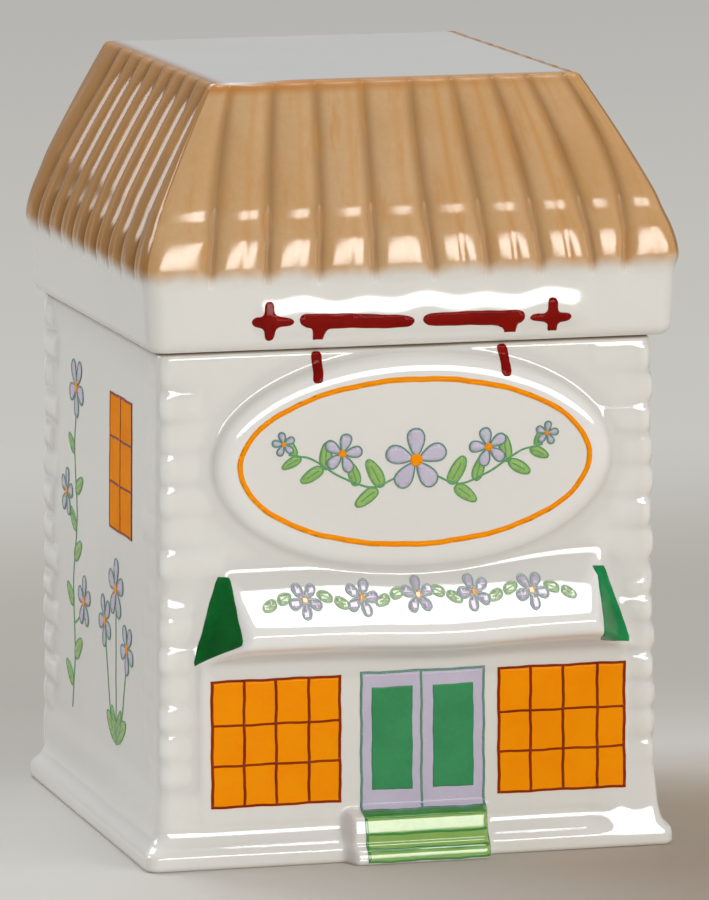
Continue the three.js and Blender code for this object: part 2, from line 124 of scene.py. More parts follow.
class Columns:
    """The upright lines of a loft: which side each is on, its place there and its turn in a corner."""

    def __init__(self, flat_steps, arc_steps):
        flat = 2 * np.arange(flat_steps + 1) / flat_steps - 1
        arc = math.pi / 4 * np.arange(1, arc_steps + 1) / arc_steps
        place = np.concatenate([np.full(arc_steps, -1), flat, np.full(arc_steps - 1, 1)])
        turn = np.concatenate([-arc[::-1], np.zeros(flat_steps + 1), arc[:-1]])
        self.count = 4 * len(place)
        self.side = np.repeat(range(4), len(place))
        self.place, self.turn = np.tile(place, 4), np.tile(turn, 4)
        self.out, self.along = OUT[self.side], ALONG[self.side]
        self.ray = np.cos(self.turn)[:, None] * self.out + np.sin(self.turn)[:, None] * self.along


def ring(columns, reach, corner, height, proud=0.0, spread=None, rest=None):
    """One closed line round a rounded box; reach is its distance to the front, right, back and left."""
    reach = np.broadcast_to(np.asarray(reach, float), 4)
    before = reach[(columns.side + 3) % 4] - corner
    after = reach[(columns.side + 1) % 4] - corner
    middle, flat = (after - before) / 2, (after + before) / 2
    rest = flat if rest is None else rest
    spread = np.abs(columns.place) if spread is None else spread
    run = middle + columns.place * rest + np.sign(columns.place) * (flat - rest) * spread
    spots = columns.along * run[:, None] + columns.out * (reach[columns.side] - corner)[:, None]
    spots = spots + columns.ray * (corner + np.broadcast_to(proud, columns.count))[:, None]
    return np.column_stack([spots, np.broadcast_to(height, columns.count)])


def circle(columns, radius, height):
    """A round line whose points face those of a rounded square."""
    square = ring(columns, wall_half, wall_corner, height)[:, :2]
    square = square / np.linalg.norm(square, axis=1)[:, None]
    return np.column_stack([square * radius, np.full(columns.count, float(height))])


def quarter_round(steps):
    """Pairs along a quarter circle: the first falls from 1 to 0 while the second rises from 0 to 1."""
    angle = math.pi / 2 * np.arange(steps) / (steps - 1)
    return list(zip(1 - np.sin(angle), 1 - np.cos(angle)))


# %% Meshes
def in_scene(name, data):
    holder = bpy.data.objects.new(name, data)
    bpy.context.scene.collection.objects.link(holder)
    return holder


def skin(name, points, faces, smooth=True):
    """A mesh from points in metres."""
    mesh = bpy.data.meshes.new(name)
    mesh.from_pydata(np.asarray(points).tolist(), [], faces)
    mesh.validate()
    if smooth:
        mesh.shade_smooth()
    print(f"{name}: {len(mesh.polygons)} faces")
    return in_scene(name, mesh)


def place_on_axis(points):
    """Moves points from the house's own axis to the row frame, and from millimetres to metres."""
    return (points + np.array([0, axis_y, 0])) * MM


def loft(name, rings, joined=False):
    """A closed skin through rings. Its ends get a middle point each, or the last ring joins the first."""
    rings = np.array(rings)
    levels, count = rings.shape[:2]
    points = rings.reshape(-1, 3)
    here = np.arange(levels * count).reshape(levels, count)
    caps = []
    if joined:
        here = np.vstack([here, here[:1]])
    there = np.roll(here, -1, axis=1)
    if not joined:
        first, last = levels * count, levels * count + 1
        points = np.vstack([points, rings[0].mean(0), rings[-1].mean(0)])
        caps = [(first, b, a) for a, b in zip(here[0], there[0])]
        caps += [(last, a, b) for a, b in zip(here[-1], there[-1])]
    quads = np.stack([here[:-1], there[:-1], there[1:], here[1:]], -1).reshape(-1, 4)
    return skin(name, place_on_axis(points), quads.tolist() + caps)


def note(piece, name, values):
    """Keeps a number for every point of a loft, for the finish to read; its two end points get 0."""
    numbers = piece.data.attributes.new(name, "FLOAT", "POINT")
    numbers.data.foreach_set("value", np.append(values, [0, 0]).astype(np.float32))


def dress(piece, body, material, slot_name, *nodes):
    """Gives a piece its finish and its body, and hides the frame nodes it stands for; slot_name is not
    used.
    """
    piece.data.materials.append(material)
    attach(piece, body)
    if nodes:
        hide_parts(*nodes)
    return piece


# %% [markdown]
# ## Height fields
#
# `smooth_max` joins two forms with a soft fillet, the way wet clay does. `soften` is a blur, which
# rounds what still is sharp. A very slow ripple is added everywhere: no cast wall is quite flat, and
# on a gloss glaze it is the bent reflections that tell porcelain from plastic. A field blurred once
# more, less the field itself, tells hollows from ridges; the finish uses it to paint shade into the
# hollows and light onto the ridges.

# %% Tools for height fields
GRID = 0.1
hollow_blur = 1.4
ripple_size = 0.035
rng = np.random.default_rng(11)
ripple_waves = rng.normal(0, 1, (7, 3))
ripple_waves *= (2 * math.pi / rng.uniform(11, 30, 7) / np.linalg.norm(ripple_waves, axis=1))[:, None]
ripple_phases = rng.uniform(0, 2 * math.pi, 7)


def smoothstep(low, high, value):
    share = np.clip((value - low) / (high - low), 0, 1)
    return share * share * (3 - 2 * share)


def plateau(value, rise_from, rise_to, fall_from, fall_to):
    """Rises from 0 to 1, stays there and falls to 0 again, with soft ends."""
    return smoothstep(rise_from, rise_to, value) * (1 - smoothstep(fall_from, fall_to, value))


def smooth_max(a, b, blend):
    near = np.clip(blend - np.abs(a - b), 0, None) / blend
    return np.maximum(a, b) + near * near * blend / 4


def smooth_min(a, b, blend):
    return -smooth_max(-a, -b, blend)


def soften(field, width):
    """Blurs a field; width is the blur's size in millimetres."""
    reach = int(math.ceil(3 * width / GRID))
    taps = np.arange(-reach, reach + 1)
    weights = np.exp(-((taps * GRID / width) ** 2) / 2)
    weights /= weights.sum()
    for axis in (0, 1):
        pad = [(reach, reach) if axis == number else (0, 0) for number in (0, 1)]
        wide = np.pad(field, pad, mode="edge")
        size = field.shape[axis]
        field = sum(w * np.take(wide, range(n, n + size), axis) for n, w in enumerate(weights))
    return field


def ripple(points):
    """Slow waves of a hand-finished wall at points in the house's millimetres."""
    waves = np.sin(points @ ripple_waves.T + ripple_phases).sum(1)
    return ripple_size * waves / math.sqrt(len(ripple_phases))


class Field:
    """A height field over one side: numbers on a grid, read between grid points."""

    def __init__(self, half, low, high, shape, blur):
        self.half, self.low = half, low
        self.u = np.arange(-half, half + GRID, GRID)
        self.z = np.arange(low, high + GRID, GRID)
        self.values = soften(shape(*np.meshgrid(self.u, self.z)), blur)
        self.hollow = soften(self.values, hollow_blur) - self.values

    def at(self, u, z, table=None):
        column = np.clip((np.asarray(u, float) + self.half) / GRID, 0, len(self.u) - 1.001)
        row = np.clip((np.asarray(z, float) - self.low) / GRID, 0, len(self.z) - 1.001)
        i, j = column.astype(int), row.astype(int)
        a, b = column - i, row - j
        v = self.values if table is None else table
        low = v[j, i] * (1 - a) + v[j, i + 1] * a
        high = v[j + 1, i] * (1 - a) + v[j + 1, i + 1] * a
        return low * (1 - b) + high * b


shortest = 2 * math.pi / np.linalg.norm(ripple_waves, axis=1).max()
print(f"ripple of {ripple_size} mm in waves of {shortest:.0f} mm and longer")

# %% [markdown]
# ## The walls
#
# `plinth` is the outline that runs round all four sides: a rounded lip on the table, a hollow cove
# and a plain course. The brick corners are rows of soft pillows that wrap round each corner, long
# and short by turns. On the front come the pilasters, the shop panel, the oval sign, the awning and
# the steps. Each is one short function of place and height, and the largest standoff wins.

# %% Plinth and plain wall
foot_blur = 0.32
fade_under = 2
fade_over = 1.5


def plinth_raw(z):
    """How far the plinth and the plain wall stand out from the wall's top, at height z."""
    angle = np.arcsin(np.clip(1 - (z - lip_height) / cove_rise, 0, 1))
    cove = course_proud + (lip_proud - course_proud) * (1 - np.cos(angle))
    proud = np.where(z < lip_height, lip_proud, np.where(z < lip_height + cove_rise, cove, course_proud))
    fade = 1 - smoothstep(course_top - fade_under, course_top + fade_over, z)
    proud = np.where(z < course_top - fade_under, proud, course_proud * fade)
    lean = wall_draft * (1 - np.clip((z - course_top) / (body_height - course_top), 0, 1))
    return proud + lean


plinth_field = Field(1.0, 0.0, body_height, lambda u, z: plinth_raw(z), foot_blur)


def plinth(z):
    return plinth_field.at(np.zeros_like(np.asarray(z, float)), z)


print(f"wall stands {float(plinth(1.0)):.2f} out at the lip and {float(plinth(20.0)):.2f} above the course")

# %% Brick corners
brick_proud = 0.42
brick_edge = 1.3
brick_joint = 0.3
brick_long = 7.4
brick_short = 4.9
courses = 7
storey_gap = 0.8
wear_mean = 0.78
wear_swing = 0.3
wear_turn = 2.4
wear_start_right = 1.0
wear_start_left = 4.1


def brick_rows():
    """Foot, head and whether it is a long row, for every course from the plinth to the rim."""
    rows = []
    lower = (course_top + course_proud, storey - storey_gap)
    upper = (storey, body_height - rim_round / 2)
    for start, end in (lower, upper):
        pitch = (end - start) / courses
        for n in range(courses):
            rows.append((start + n * pitch, start + (n + 1) * pitch - brick_joint, n % 2 == 0))
    return rows


def pillow(depth, edge):
    """Height share of a form that rises as a quarter round over its edge."""
    return np.sqrt(np.clip(1 - (1 - np.clip(depth / edge, 0, 1)) ** 2, 0, 1))


def bricks(u, z, long_first):
    """Brick corners at both ends of a side; each brick is worn a little differently."""
    height = np.zeros_like(u)
    start = np.where(u > 0, wear_start_right, wear_start_left)
    for number, (foot, head, is_long) in enumerate(brick_rows()):
        length = brick_long if is_long == long_first else brick_short
        worn = wear_mean + wear_swing * np.sin(wear_turn * number + start)
        depth = np.minimum(np.minimum(z - foot, head - z), np.abs(u) - (wall_half - length))
        height = np.maximum(height, brick_proud * worn * pillow(depth, brick_edge))
    return height


print("brick rows:", len(brick_rows()))

# %% Sizes of the front
ABSENT = -1.0
relief_shift = 0.6
front_brick_share = 0.42
front_brick_from = 26.6
front_brick_to = 28.2
pilaster_wide = 3.4
pilaster_proud = 0.3
pilaster_right_share = 0.7
pilaster_soft = 0.3
pilaster_ends = (course_top - 0.6, course_top + 1.5, storey - 4.6, storey - 1.4)
recess_deep = 0.2
recess_rise_left = 1.2
recess_rise_right = 8.0
recess_head = (storey - 1.6, storey + 0.2)
panel_half = 25.05
panel_foot = 4.6
panel_head = 24.2
panel_proud = 0.85
panel_edge = 0.5
sign_high = 45.3
sign_half_wide = 23.3
sign_half_high = 12.5
sign_slope = 2.9
sign_proud = 1.3
sign_dome = 0.12
sign_fillet = 0.15
awning_top = 33.0
awning_lip_top = 27.2
awning_lip_foot = 25.4
awning_foot = 23.1
awning_half = 21.8
awning_spread = 3.6
awning_taper = 3.76
awning_lip_round = 0.7
awning_face_round = 0.35
awning_end_round = 0.5
awning_sag = 0.5
awning_sag_at = 3
awning_sag_wide = 9
awning_fillet = 1.5
awning_fillet_more = 1.0
awning_fillet_from = 8
awning_fillet_to = 20
awning_reach = front_reach - wall_half - ripple_size * 2
step_half = 8.1
step_fillet = 0.3
# The height of each step's top, its standoff, and the height at which its riser bends back.
step_blocks = ((5.6, 3.3, 3.2), (1.9, 4.6, 0.5))
riser_lean = 0.215
corner_head = 4.5
corner_wave = 0.25
corner_wave_turn = 1.9
corner_lean = 0.13
corner_lean_from = 1.0
corner_join = 3
corner_from = 19.5
corner_to = 24.0
print("awning reach", round(awning_reach, 2))


# %% Front features
def oval_depth(u, z, half_wide, half_high, centre):
    """How far inside an oval a spot is, in millimetres along the shortest way."""
    v = z - centre
    share = np.sqrt((u / half_wide) ** 2 + (v / half_high) ** 2) + 1e-9
    slope = np.sqrt((u / half_wide**2) ** 2 + (v / half_high**2) ** 2) / share + 1e-9
    return (1 - share) / slope


def box_depth(u, z, half, foot, head):
    return np.minimum(half - np.abs(u), np.minimum(z - foot, head - z))


def sign(u, z):
    depth = oval_depth(u, z, sign_half_wide, sign_half_high, sign_high)
    return sign_proud * pillow(depth, sign_slope) + sign_dome * np.clip(depth / sign_half_high, 0, 1)


def awning(u, z):
    """The awning leans from the storey line to a blunt lip and folds back; its ends taper."""
    slope = awning_reach * (awning_top - z) / (awning_top - awning_lip_top)
    under = awning_reach * (z - awning_foot) / (awning_lip_foot - awning_foot)
    profile = smooth_min(slope, under, awning_lip_round)
    profile = smooth_min(profile, np.full_like(u, awning_reach), awning_face_round)
    drop = (awning_top - z) / (awning_top - awning_foot)
    end = (awning_half + awning_spread * drop - np.abs(u)) * awning_reach / awning_taper
    return smooth_min(profile, end, awning_end_round)


def pilaster(u, z):
    middle = wall_half - pilaster_wide / 2
    across = 1 - ((np.abs(u) - middle) / (pilaster_wide / 2 + pilaster_soft)) ** 2
    share = np.where(u < 0, 1.0, pilaster_right_share)
    column = share * pilaster_proud * np.sqrt(np.clip(across, 0, 1))
    return (column + recess_deep) * plateau(z, *pilaster_ends) - recess_deep


def plain_front(u, z):
    """Brick corners, and pilasters on a storey that lies a little deeper between them."""
    rise = np.where(u > 0, recess_rise_right, recess_rise_left)
    sink = recess_deep * plateau(z, course_top, course_top + rise, *recess_head)
    at_end = smoothstep(front_brick_from, front_brick_to, np.abs(u))
    share = front_brick_share + (1 - front_brick_share) * at_end
    return np.maximum(pilaster(u, z) + sink, 0) - sink + bricks(u, z, True) * share


def shop_panel(u, z):
    panel = panel_proud * pillow(box_depth(u, z, panel_half, panel_foot, panel_head) + 0.1, panel_edge)
    return np.where(panel > 0, panel, ABSENT)


def foot_corner(u, z, height):
    """The clay is fuller at the right foot corner, where one slope runs up from the lip."""
    head = corner_head + corner_wave * np.sin(corner_wave_turn * u)
    full = lip_proud + wall_draft - riser_lean * np.clip(z - corner_lean_from, 0, head - corner_lean_from)
    full = full - corner_lean * np.clip(z - head, 0, None)
    full = np.where(z < corner_join, full, smooth_max(full, height, step_fillet))
    return height + (full - height) * smoothstep(corner_from, corner_to, u)


def steps_before(u, z, height):
    """Two steps; the risers stand upright up to a bend and lean back above it."""
    for top, proud, bend in step_blocks:
        riser = proud - riser_lean * np.clip(z - bend, 0, None)
        block = np.where(box_depth(u, z, step_half, ABSENT, top) > 0, riser, ABSENT)
        height = smooth_max(height, block, step_fillet)
    return height


# %% The four walls
field_half = wall_half + 0.4
front_blur = 0.26
side_blur = 0.3
back_proud = 0.8
left_front_share = 0.15
left_back_more = 1.1
left_worn_to = wall_half - 8
left_full_from = 2 - wall_half


def front_shape(u, z):
    wall = plinth(z)
    height = wall + plain_front(u, z)
    u = u - relief_shift
    height = smooth_max(height, shop_panel(u, z), panel_edge)
    sag = awning_sag * np.exp(-(((u - awning_sag_at) / awning_sag_wide) ** 2))
    fillet = awning_fillet + awning_fillet_more * smoothstep(awning_fillet_from, awning_fillet_to, u)
    height = smooth_max(height, awning(u, z + sag), fillet)
    height = smooth_max(height, wall + sign(u, z), sign_fillet)
    return steps_before(u, z, foot_corner(u, z, height))


def side_shape(u, z):
    return plinth(z) + bricks(u, z, False)


def left_shape(u, z):
    """The left wall: its bricks are worn soft near the front and stand prouder at the back."""
    share = left_front_share + left_back_more * smoothstep(left_worn_to, left_full_from, u)
    return plinth(z) + bricks(u, z, False) * share


def back_shape(u, z):
    return side_shape(u, z) + back_proud * smoothstep(lip_height, lip_height + cove_rise, z)


wall_fields = {FRONT: Field(field_half, 0.0, body_height, front_shape, front_blur)}
for side, shape in ((RIGHT, side_shape), (BACK, back_shape), (LEFT, left_shape)):
    wall_fields[side] = Field(field_half, 0.0, body_height, shape, side_blur)
for side, field in wall_fields.items():
    print("furthest standoff of side", side, round(float(field.values.max()), 2))

# %% [markdown]
# ## The jar's body
#
# One skin runs from the middle of the foot, out and up the walls, over the rim and the deck, and
# down through the mouth into the hollow. So the jar is real porcelain with a thickness, and it
# looks right when the lid is lifted. The grid is finer at the foot, where steps and lip are small.

# %% Build the body
body_columns = Columns(176, 5)
fine_top = 6.4
fine_pitch = 0.15
wall_pitch = 0.3
spread_over = 1.9
hollow_from = 6.0
hollow_full = 9.5
flat_half = wall_half - wall_corner
body_spread = smoothstep(flat_half - spread_over, flat_half, np.abs(body_columns.place) * flat_half)
body_u = body_columns.place * flat_half + wall_corner * body_columns.turn


def wall_ring(z, inward=0.0, height=None):
    """A ring on the outside of the body at height z; inward pulls it in, as at the rim."""
    base = float(plinth(z))
    proud = np.zeros(body_columns.count)
    for side, field in wall_fields.items():
        on = body_columns.side == side
        proud[on] = field.at(body_u[on], np.full(on.sum(), z)) - base
    spots = ring(body_columns, wall_half + base, wall_corner, z, proud, body_spread, flat_half)
    moved = ripple(spots) * min(z / lip_height, 1) - inward
    spots[:, :2] += body_columns.ray * moved[:, None]
    if height is not None:
        spots[:, 2] = height
    return spots


def foot_rings():
    rings = [circle(body_columns, middle_radius, foot_recess)]
    rings.append(ring(body_columns, recess_half - soft_edge, cavity_corner, foot_recess))
    rings.append(ring(body_columns, recess_half, cavity_corner, 0.0))
    rings.append(wall_ring(0.0, foot_tuck, 0.0))
    return rings + [wall_ring(0.0, lip_edge * a, lip_edge * b) for a, b in quarter_round(5)]


def outer_rings():
    low = np.arange(lip_edge + fine_pitch, fine_top, fine_pitch)
    high = np.arange(fine_top, body_height - rim_round, wall_pitch)
    rings = [wall_ring(z) for z in np.concatenate([low, high])]
    rim = body_height - rim_round
    return rings + [wall_ring(rim, rim_round * b, body_height - rim_round * a) for a, b in quarter_round(7)]


def inner_rings():
    ceiling = body_height - deck_thick
    rings = [circle(body_columns, mouth_radius + round_edge * a, body_height - round_edge * b)
             for a, b in quarter_round(5)]
    rings.append(circle(body_columns, mouth_radius, ceiling + soft_edge))
    rings.append(circle(body_columns, mouth_radius + soft_edge, ceiling))
    rings.append(ring(body_columns, cavity_half - tuck, cavity_corner, ceiling))
    rings.append(ring(body_columns, cavity_half, cavity_corner, ceiling - tuck))
    rings += [ring(body_columns, cavity_half - floor_round * b, cavity_corner, floor_high + floor_round * a)
              for a, b in quarter_round(6)]
    return rings + [circle(body_columns, middle_radius, floor_high)]


def hollow_marks(rings):
    """How much lower each spot of the outside lies than what is round it, in millimetres."""
    marks = np.zeros((len(rings), body_columns.count))
    for level, spots in enumerate(rings):
        outside = np.abs(spots[:, :2]).max(1) > wall_half - wall_corner
        for side, field in wall_fields.items():
            on = outside & (body_columns.side == side)
            marks[level, on] = field.at(body_u[on], spots[on, 2], field.hollow)
        marks[level] *= smoothstep(hollow_from, hollow_full, spots[:, 2])
    return marks.ravel()


body_stack = foot_rings() + outer_rings() + inner_rings()
body_skin = loft("jar_porcelain", body_stack)
# The finish paints shade into the hollows and light onto the ridges from these marks.
note(body_skin, "hollow", hollow_marks(body_stack))

# %% [markdown]
# ## The lid
#
# The roof's outline is drawn by its lean. A glaze shows the lean more than the outline: where the
# clay tips just a little towards the light it flashes. So the lean is given for a few heights, and
# adding it up gives the inset. Near the eave the real roof stands nearly upright, leans back, stands
# up once more in a shallow swell, and then leans back evenly to the flat top.

# %% Roof outline from its lean
eave = 67.6
roof_half = eave_half + 0.3
band_half = roof_half - 0.4
band_foot_half = band_half - 0.35
band_round = 1.3
roof_corner = 2.2
roof_top_corner = 1.0
top_edge = 0.5
top_lean = math.radians(27)
front_inset = 8.1
side_inset = 9.8
back_inset = 1.25
roof_rise = total_height - eave
top_front = front_inset - roof_half + top_edge
top_left = side_inset - roof_half + top_edge
front_lean = {0: -2, 0.3: 6, 3.3: 13, 4.2: 27, 4.9: 26, 5.6: 12.5, 6.5: 12, 7.3: 24, 20.2: 27.5}
side_lean = {0: 2, 1.5: 13, 4.0: 22, 6.0: 20, 8.0: 26, 20.2: 30}


def inset_of(leans, total):
    """How far a roof side has moved in at each height above the eave, scaled to its full inset."""
    heights = np.linspace(0, roof_rise, 400)
    tilt = np.interp(heights, list(leans), list(leans.values()))
    steps = np.tan(np.radians(tilt)) * (heights[1] - heights[0])
    inset = np.concatenate([[0], np.cumsum((steps[1:] + steps[:-1]) / 2)])
    print(f"roof side moves in {inset[-1]:.2f} of {total}")
    return heights, inset * total / inset[-1]


front_path = inset_of(front_lean, front_inset)
side_path = inset_of(side_lean, side_inset)


def roof_reach(rise):
    """Distances to the front, right, back and left at a height above the eave."""
    front = roof_half - np.interp(rise, *front_path)
    side = roof_half - np.interp(rise, *side_path)
    back = roof_half - back_inset * np.clip(rise / roof_rise, 0, 1)
    return np.array([front, side, back, side])


def band_reach(z):
    """Distance to each side of the band, which leans out a little towards the eave."""
    share = np.clip((z - body_height - band_round) / (eave - body_height - band_round), 0, 1)
    return band_foot_half + (band_half - band_foot_half) * share


# %% [markdown]
# ## Ribs
#
# Nine furrows make ten ribs on each side. They fan in towards the top, and in front they aren't
# evenly spaced, as on any hand-carved model, so their places are written down for three heights. Each
# rib is a soft arch, flatter at the eave, with a fine crease beside its crown where the glaze pools.

# %% Rib shape
rib_deep = {FRONT: 0.85, RIGHT: 0.95, BACK: 0.95, LEFT: 0.95}
rib_power = 2.2
rib_power_eave = 1.1
rib_power_high = 4.4
crease_deep = 0.2
crease_wide = 0.15
crease_places = np.array([0.1, 0.13, 0.23, 0.3, 0.23, 0.11, 0.06, 0.09, 0, -0.06])
crease_shares = np.array([0, 0.6, 0.35, 0.6, 0.5, 1, 1, 1, 0, 0.5])
ribs_reach = 5
ribs_apart = 20
end_spare = 0.7
eave_pitch = 6.1
top_pitch = {RIGHT: 5.4, BACK: 5.0, LEFT: 5.4}
drift = {RIGHT: 0.4, BACK: -0.8, LEFT: -0.4}
drift_ribs = 14
front_furrows = {
    0: (-23.0, -16.6, -10.6, -4.3, 2.6, 8.9, 15.1, 21.2, 24.8),
    10: (-21.4, -15.5, -9.8, -4.0, 1.9, 7.9, 13.7, 19.2, 24.2),
    20.2: (-18.7, -13.8, -9.0, -3.5, 2.1, 6.8, 11.5, 15.6, 19.9),
}
front_curves = [np.polyfit(list(front_furrows), path, 2) for path in zip(*front_furrows.values())]


def rib_place(side, run, rise, ends):
    """A column's place counted in ribs: whole numbers are furrows."""
    if side == FRONT:
        places = [np.polyval(curve, min(max(rise, 0), roof_rise)) for curve in front_curves]
    else:
        pitch = eave_pitch + (top_pitch[side] - eave_pitch) * np.clip(rise / roof_rise, 0, 1)
        marks = np.arange(-ribs_reach + 1, ribs_reach)
        places = pitch * marks + drift[side] * np.cos(math.pi * marks / drift_ribs)
    places = np.concatenate([[ends[0] - end_spare], places, [ends[1] + end_spare]])
    return np.interp(run, places, np.arange(-ribs_reach, ribs_reach + 1))


def rib_profile(count, rise):
    """1 on a crown and 0 in a furrow, and the share of the fine crease beside the crown."""
    across = 2 * (count - np.floor(count)) - 1
    power = rib_power + rib_power_eave * math.exp(-((max(rise, 0) / rib_power_high) ** 4))
    number = np.clip(np.floor(count) + ribs_reach, 0, 2 * ribs_reach - 1).astype(int)
    crease = crease_shares[number] * np.exp(-(((across - crease_places[number]) / crease_wide) ** 2))
    return 1 - np.abs(across) ** power, crease


print("ribs on a side:", 2 * ribs_reach)

# %% The lid's outside
lid_columns = Columns(250, 6)
lid_askew = np.array([0, 0.6, 0, -0.3])
lid_ripple = 0.7
fade_low = 65.6
fade_high = 67.9
top_calm = 0.6
top_calm_high = 5
eave_swell = 0.25
eave_swell_at = 1.6
crease_top_share = 0.3
crease_fade = 5
crown_at_corner = 0.95
corner_near = 0.8
corner_far = 2.4
relief_foot = (59.2, 61.4)
relief_head = 64.9
relief_head_soft = 3.0
relief_ends = (-18.5, -16.3, 18.6, 21.6)
relief_proud = 0.5
relief_short_wave = (0.25, 0.9)
relief_long_wave = (0.2, 0.37)


def band_relief(x, z):
    """The low swell behind the painted hanger, whose wavy upper slope catches the light."""
    (short_high, short_turn), (long_high, long_turn) = relief_short_wave, relief_long_wave
    top = relief_head + short_high * np.sin(x * short_turn) + long_high * np.sin(x * long_turn + 1)
    upright = plateau(z, *relief_foot, top - relief_head_soft, top)
    return relief_proud * upright * plateau(x, *relief_ends)


def lid_reach(z):
    """Distances to the four sides: the band's below the eave, the roof's above it."""
    if z < eave:
        reach = np.full(4, band_reach(z)) + (roof_half - band_half) * smoothstep(fade_low, eave, z)
    else:
        reach = roof_reach(z - eave)
    return reach + lid_askew


def side_ribs(side, spots, reach, rise):
    """Rib number, profile and crease of a side's columns; the profile is full at the corners."""
    run = (spots * lid_columns.along[lid_columns.side == side]).sum(1)
    ends = (-reach[(side + 3) % 4], reach[(side + 1) % 4])
    count = rib_place(side, run, rise, ends)
    profile, crease = rib_profile(count, rise)
    at_corner = smoothstep(corner_far, corner_near, np.minimum(run - ends[0], ends[1] - run))
    return count + ribs_apart * side, profile * (1 - at_corner) + crown_at_corner * at_corner, crease


def lid_ring(z):
    """One ring of the lid's outside with its ribs; also furrow, crease and rib number of each column."""
    rise = z - eave
    reach = lid_reach(z)
    corner = roof_corner + (roof_top_corner - roof_corner) * np.clip(rise / roof_rise, 0, 1)
    spots = ring(lid_columns, reach, corner, z)
    swell = 1 - top_calm * smoothstep(total_height - top_calm_high, total_height, z)
    swell *= smoothstep(fade_low, fade_high, z)
    swell *= 1 + eave_swell * np.exp(-(((rise - eave_swell_at) / eave_swell_at) ** 2))
    low_share = math.exp(-((max(rise, 0) / crease_fade) ** 2))
    crease_here = crease_deep * (crease_top_share + (1 - crease_top_share) * low_share)
    proud = np.zeros(lid_columns.count)
    marks = np.zeros((3, lid_columns.count))
    for side in range(4):
        on = lid_columns.side == side
        count, profile, crease = side_ribs(side, spots[on, :2], reach, rise)
        proud[on] = ((profile - 1) * rib_deep[side] - crease * crease_here) * swell
        marks[:, on] = np.clip(1 - profile, 0, 1), crease, count
    front = lid_columns.side == FRONT
    proud[front] += band_relief(spots[front, 0], z)
    spots[:, :2] += lid_columns.ray * (proud + ripple(spots) * lid_ripple)[:, None]
    return spots, marks


# %% Build the lid
lid_wall = 3.0
lid_deck = 3.2
plug_radius = 20.6
plug_bore = 17.8
plug_depth = 7.0
waist_deep = 0.9
waist_top = 1.4
waist_high = 4.0
waist_edge = 0.1
band_pitch = 0.35
eave_row_pitch = 0.2
roof_pitch = 0.4
fine_above_eave = 8


def lid_hollow_rings():
    """Rings from the hollow's ceiling down its walls and through the plug's bore."""
    ceiling = total_height - lid_wall
    floor = body_height + lid_deck
    plug_foot = body_height - plug_depth
    rings = [circle(lid_columns, middle_radius, ceiling)]
    for z in (ceiling, ceiling - tuck, *np.linspace(ceiling - 4, eave, 5), floor + tuck, floor):
        inside = lid_wall + rib_deep[BACK] + (tuck if z in (ceiling, floor) else 0)
        rings.append(ring(lid_columns, roof_reach(max(z - eave, 0)) - inside, roof_corner, z))
    bore = ((plug_bore + round_edge, floor), (plug_bore, floor - round_edge),
            (plug_bore, plug_foot + round_edge), (plug_bore + soft_edge, plug_foot))
    return rings + [circle(lid_columns, *corner) for corner in bore]


def plug_rings():
    """Rings up the plug's outside with its waist, and round the band's foot."""
    foot = body_height - plug_depth
    waist = plug_radius - waist_deep
    head = body_height - waist_top
    outline = [(plug_radius - round_edge * a, foot + round_edge * b) for a, b in quarter_round(4)]
    outline += [(plug_radius, head - waist_high), (waist, head - waist_high + waist_edge)]
    outline += [(waist, head - waist_edge), (plug_radius, head)]
    outline += [(plug_radius, body_height - soft_edge), (plug_radius + soft_edge, body_height)]
    rings = [circle(lid_columns, *corner) for corner in outline]
    for a, b in quarter_round(9):
        spots = lid_ring(body_height + band_round)[0]
        spots[:, :2] -= lid_columns.ray * band_round * a
        spots[:, 2] = body_height + band_round * b
        rings.append(spots)
    return rings


def roof_rings():
    """Rings with their marks, up the band and the roof and over the roof's rounded top edge."""
    band = np.arange(body_height + band_round + 0.3, fade_low, band_pitch)
    low = np.arange(fade_low, eave + fine_above_eave, eave_row_pitch)
    high = np.arange(eave + fine_above_eave, total_height - top_edge, roof_pitch)
    rings = [lid_ring(z) for z in np.concatenate([band, low, high])]
    radius = top_edge / (1 - math.sin(top_lean))
    for step in range(7):
        angle = top_lean + (math.pi / 2 - top_lean) * step / 6
        spots, marks = lid_ring(total_height - top_edge)
        spots[:, :2] -= lid_columns.ray * radius * (math.cos(top_lean) - math.cos(angle))
        spots[:, 2] += radius * (math.sin(angle) - math.sin(top_lean))
        rings.append((spots, marks))
    return rings


def flat_top_rings(last):
    """The last ring drawn together towards the middle."""
    middle = np.array([0, (last[:, 1].max() + last[:, 1].min()) / 2])
    away = last[:, :2] - middle
    return [np.column_stack([middle + away * share, last[:, 2]]) for share in (0.97, 0.9, 0.6, 0.3)]


lid_low_part = lid_hollow_rings() + plug_rings()
lid_roof, lid_roof_marks = zip(*roof_rings())
lid_stack = [*lid_low_part, *lid_roof, *flat_top_rings(lid_roof[-1])]
lid_marks = np.zeros((3, len(lid_stack), lid_columns.count))
lid_marks[:, len(lid_low_part):len(lid_low_part) + len(lid_roof)] = np.stack(lid_roof_marks, 1)
lid_skin = loft("roof_porcelain", lid_stack)
for word, values in zip(("furrow", "crease", "rib"), lid_marks):
    note(lid_skin, word, values.ravel())

# %% [markdown]
# ## The seal
#
# A soft ring with three fins sits in the waist of the plug. It shows only when the lid is lifted. A
# turned part is a profile spun round the axis, so the profile is all that has to be drawn.

# %% Build the seal
seal_inner = plug_radius - waist_deep + 0.03
seal_chamfer = (0.2, 0.1)
fin_deep = 0.6
fin_count = 3
fin_bulge = 0.6


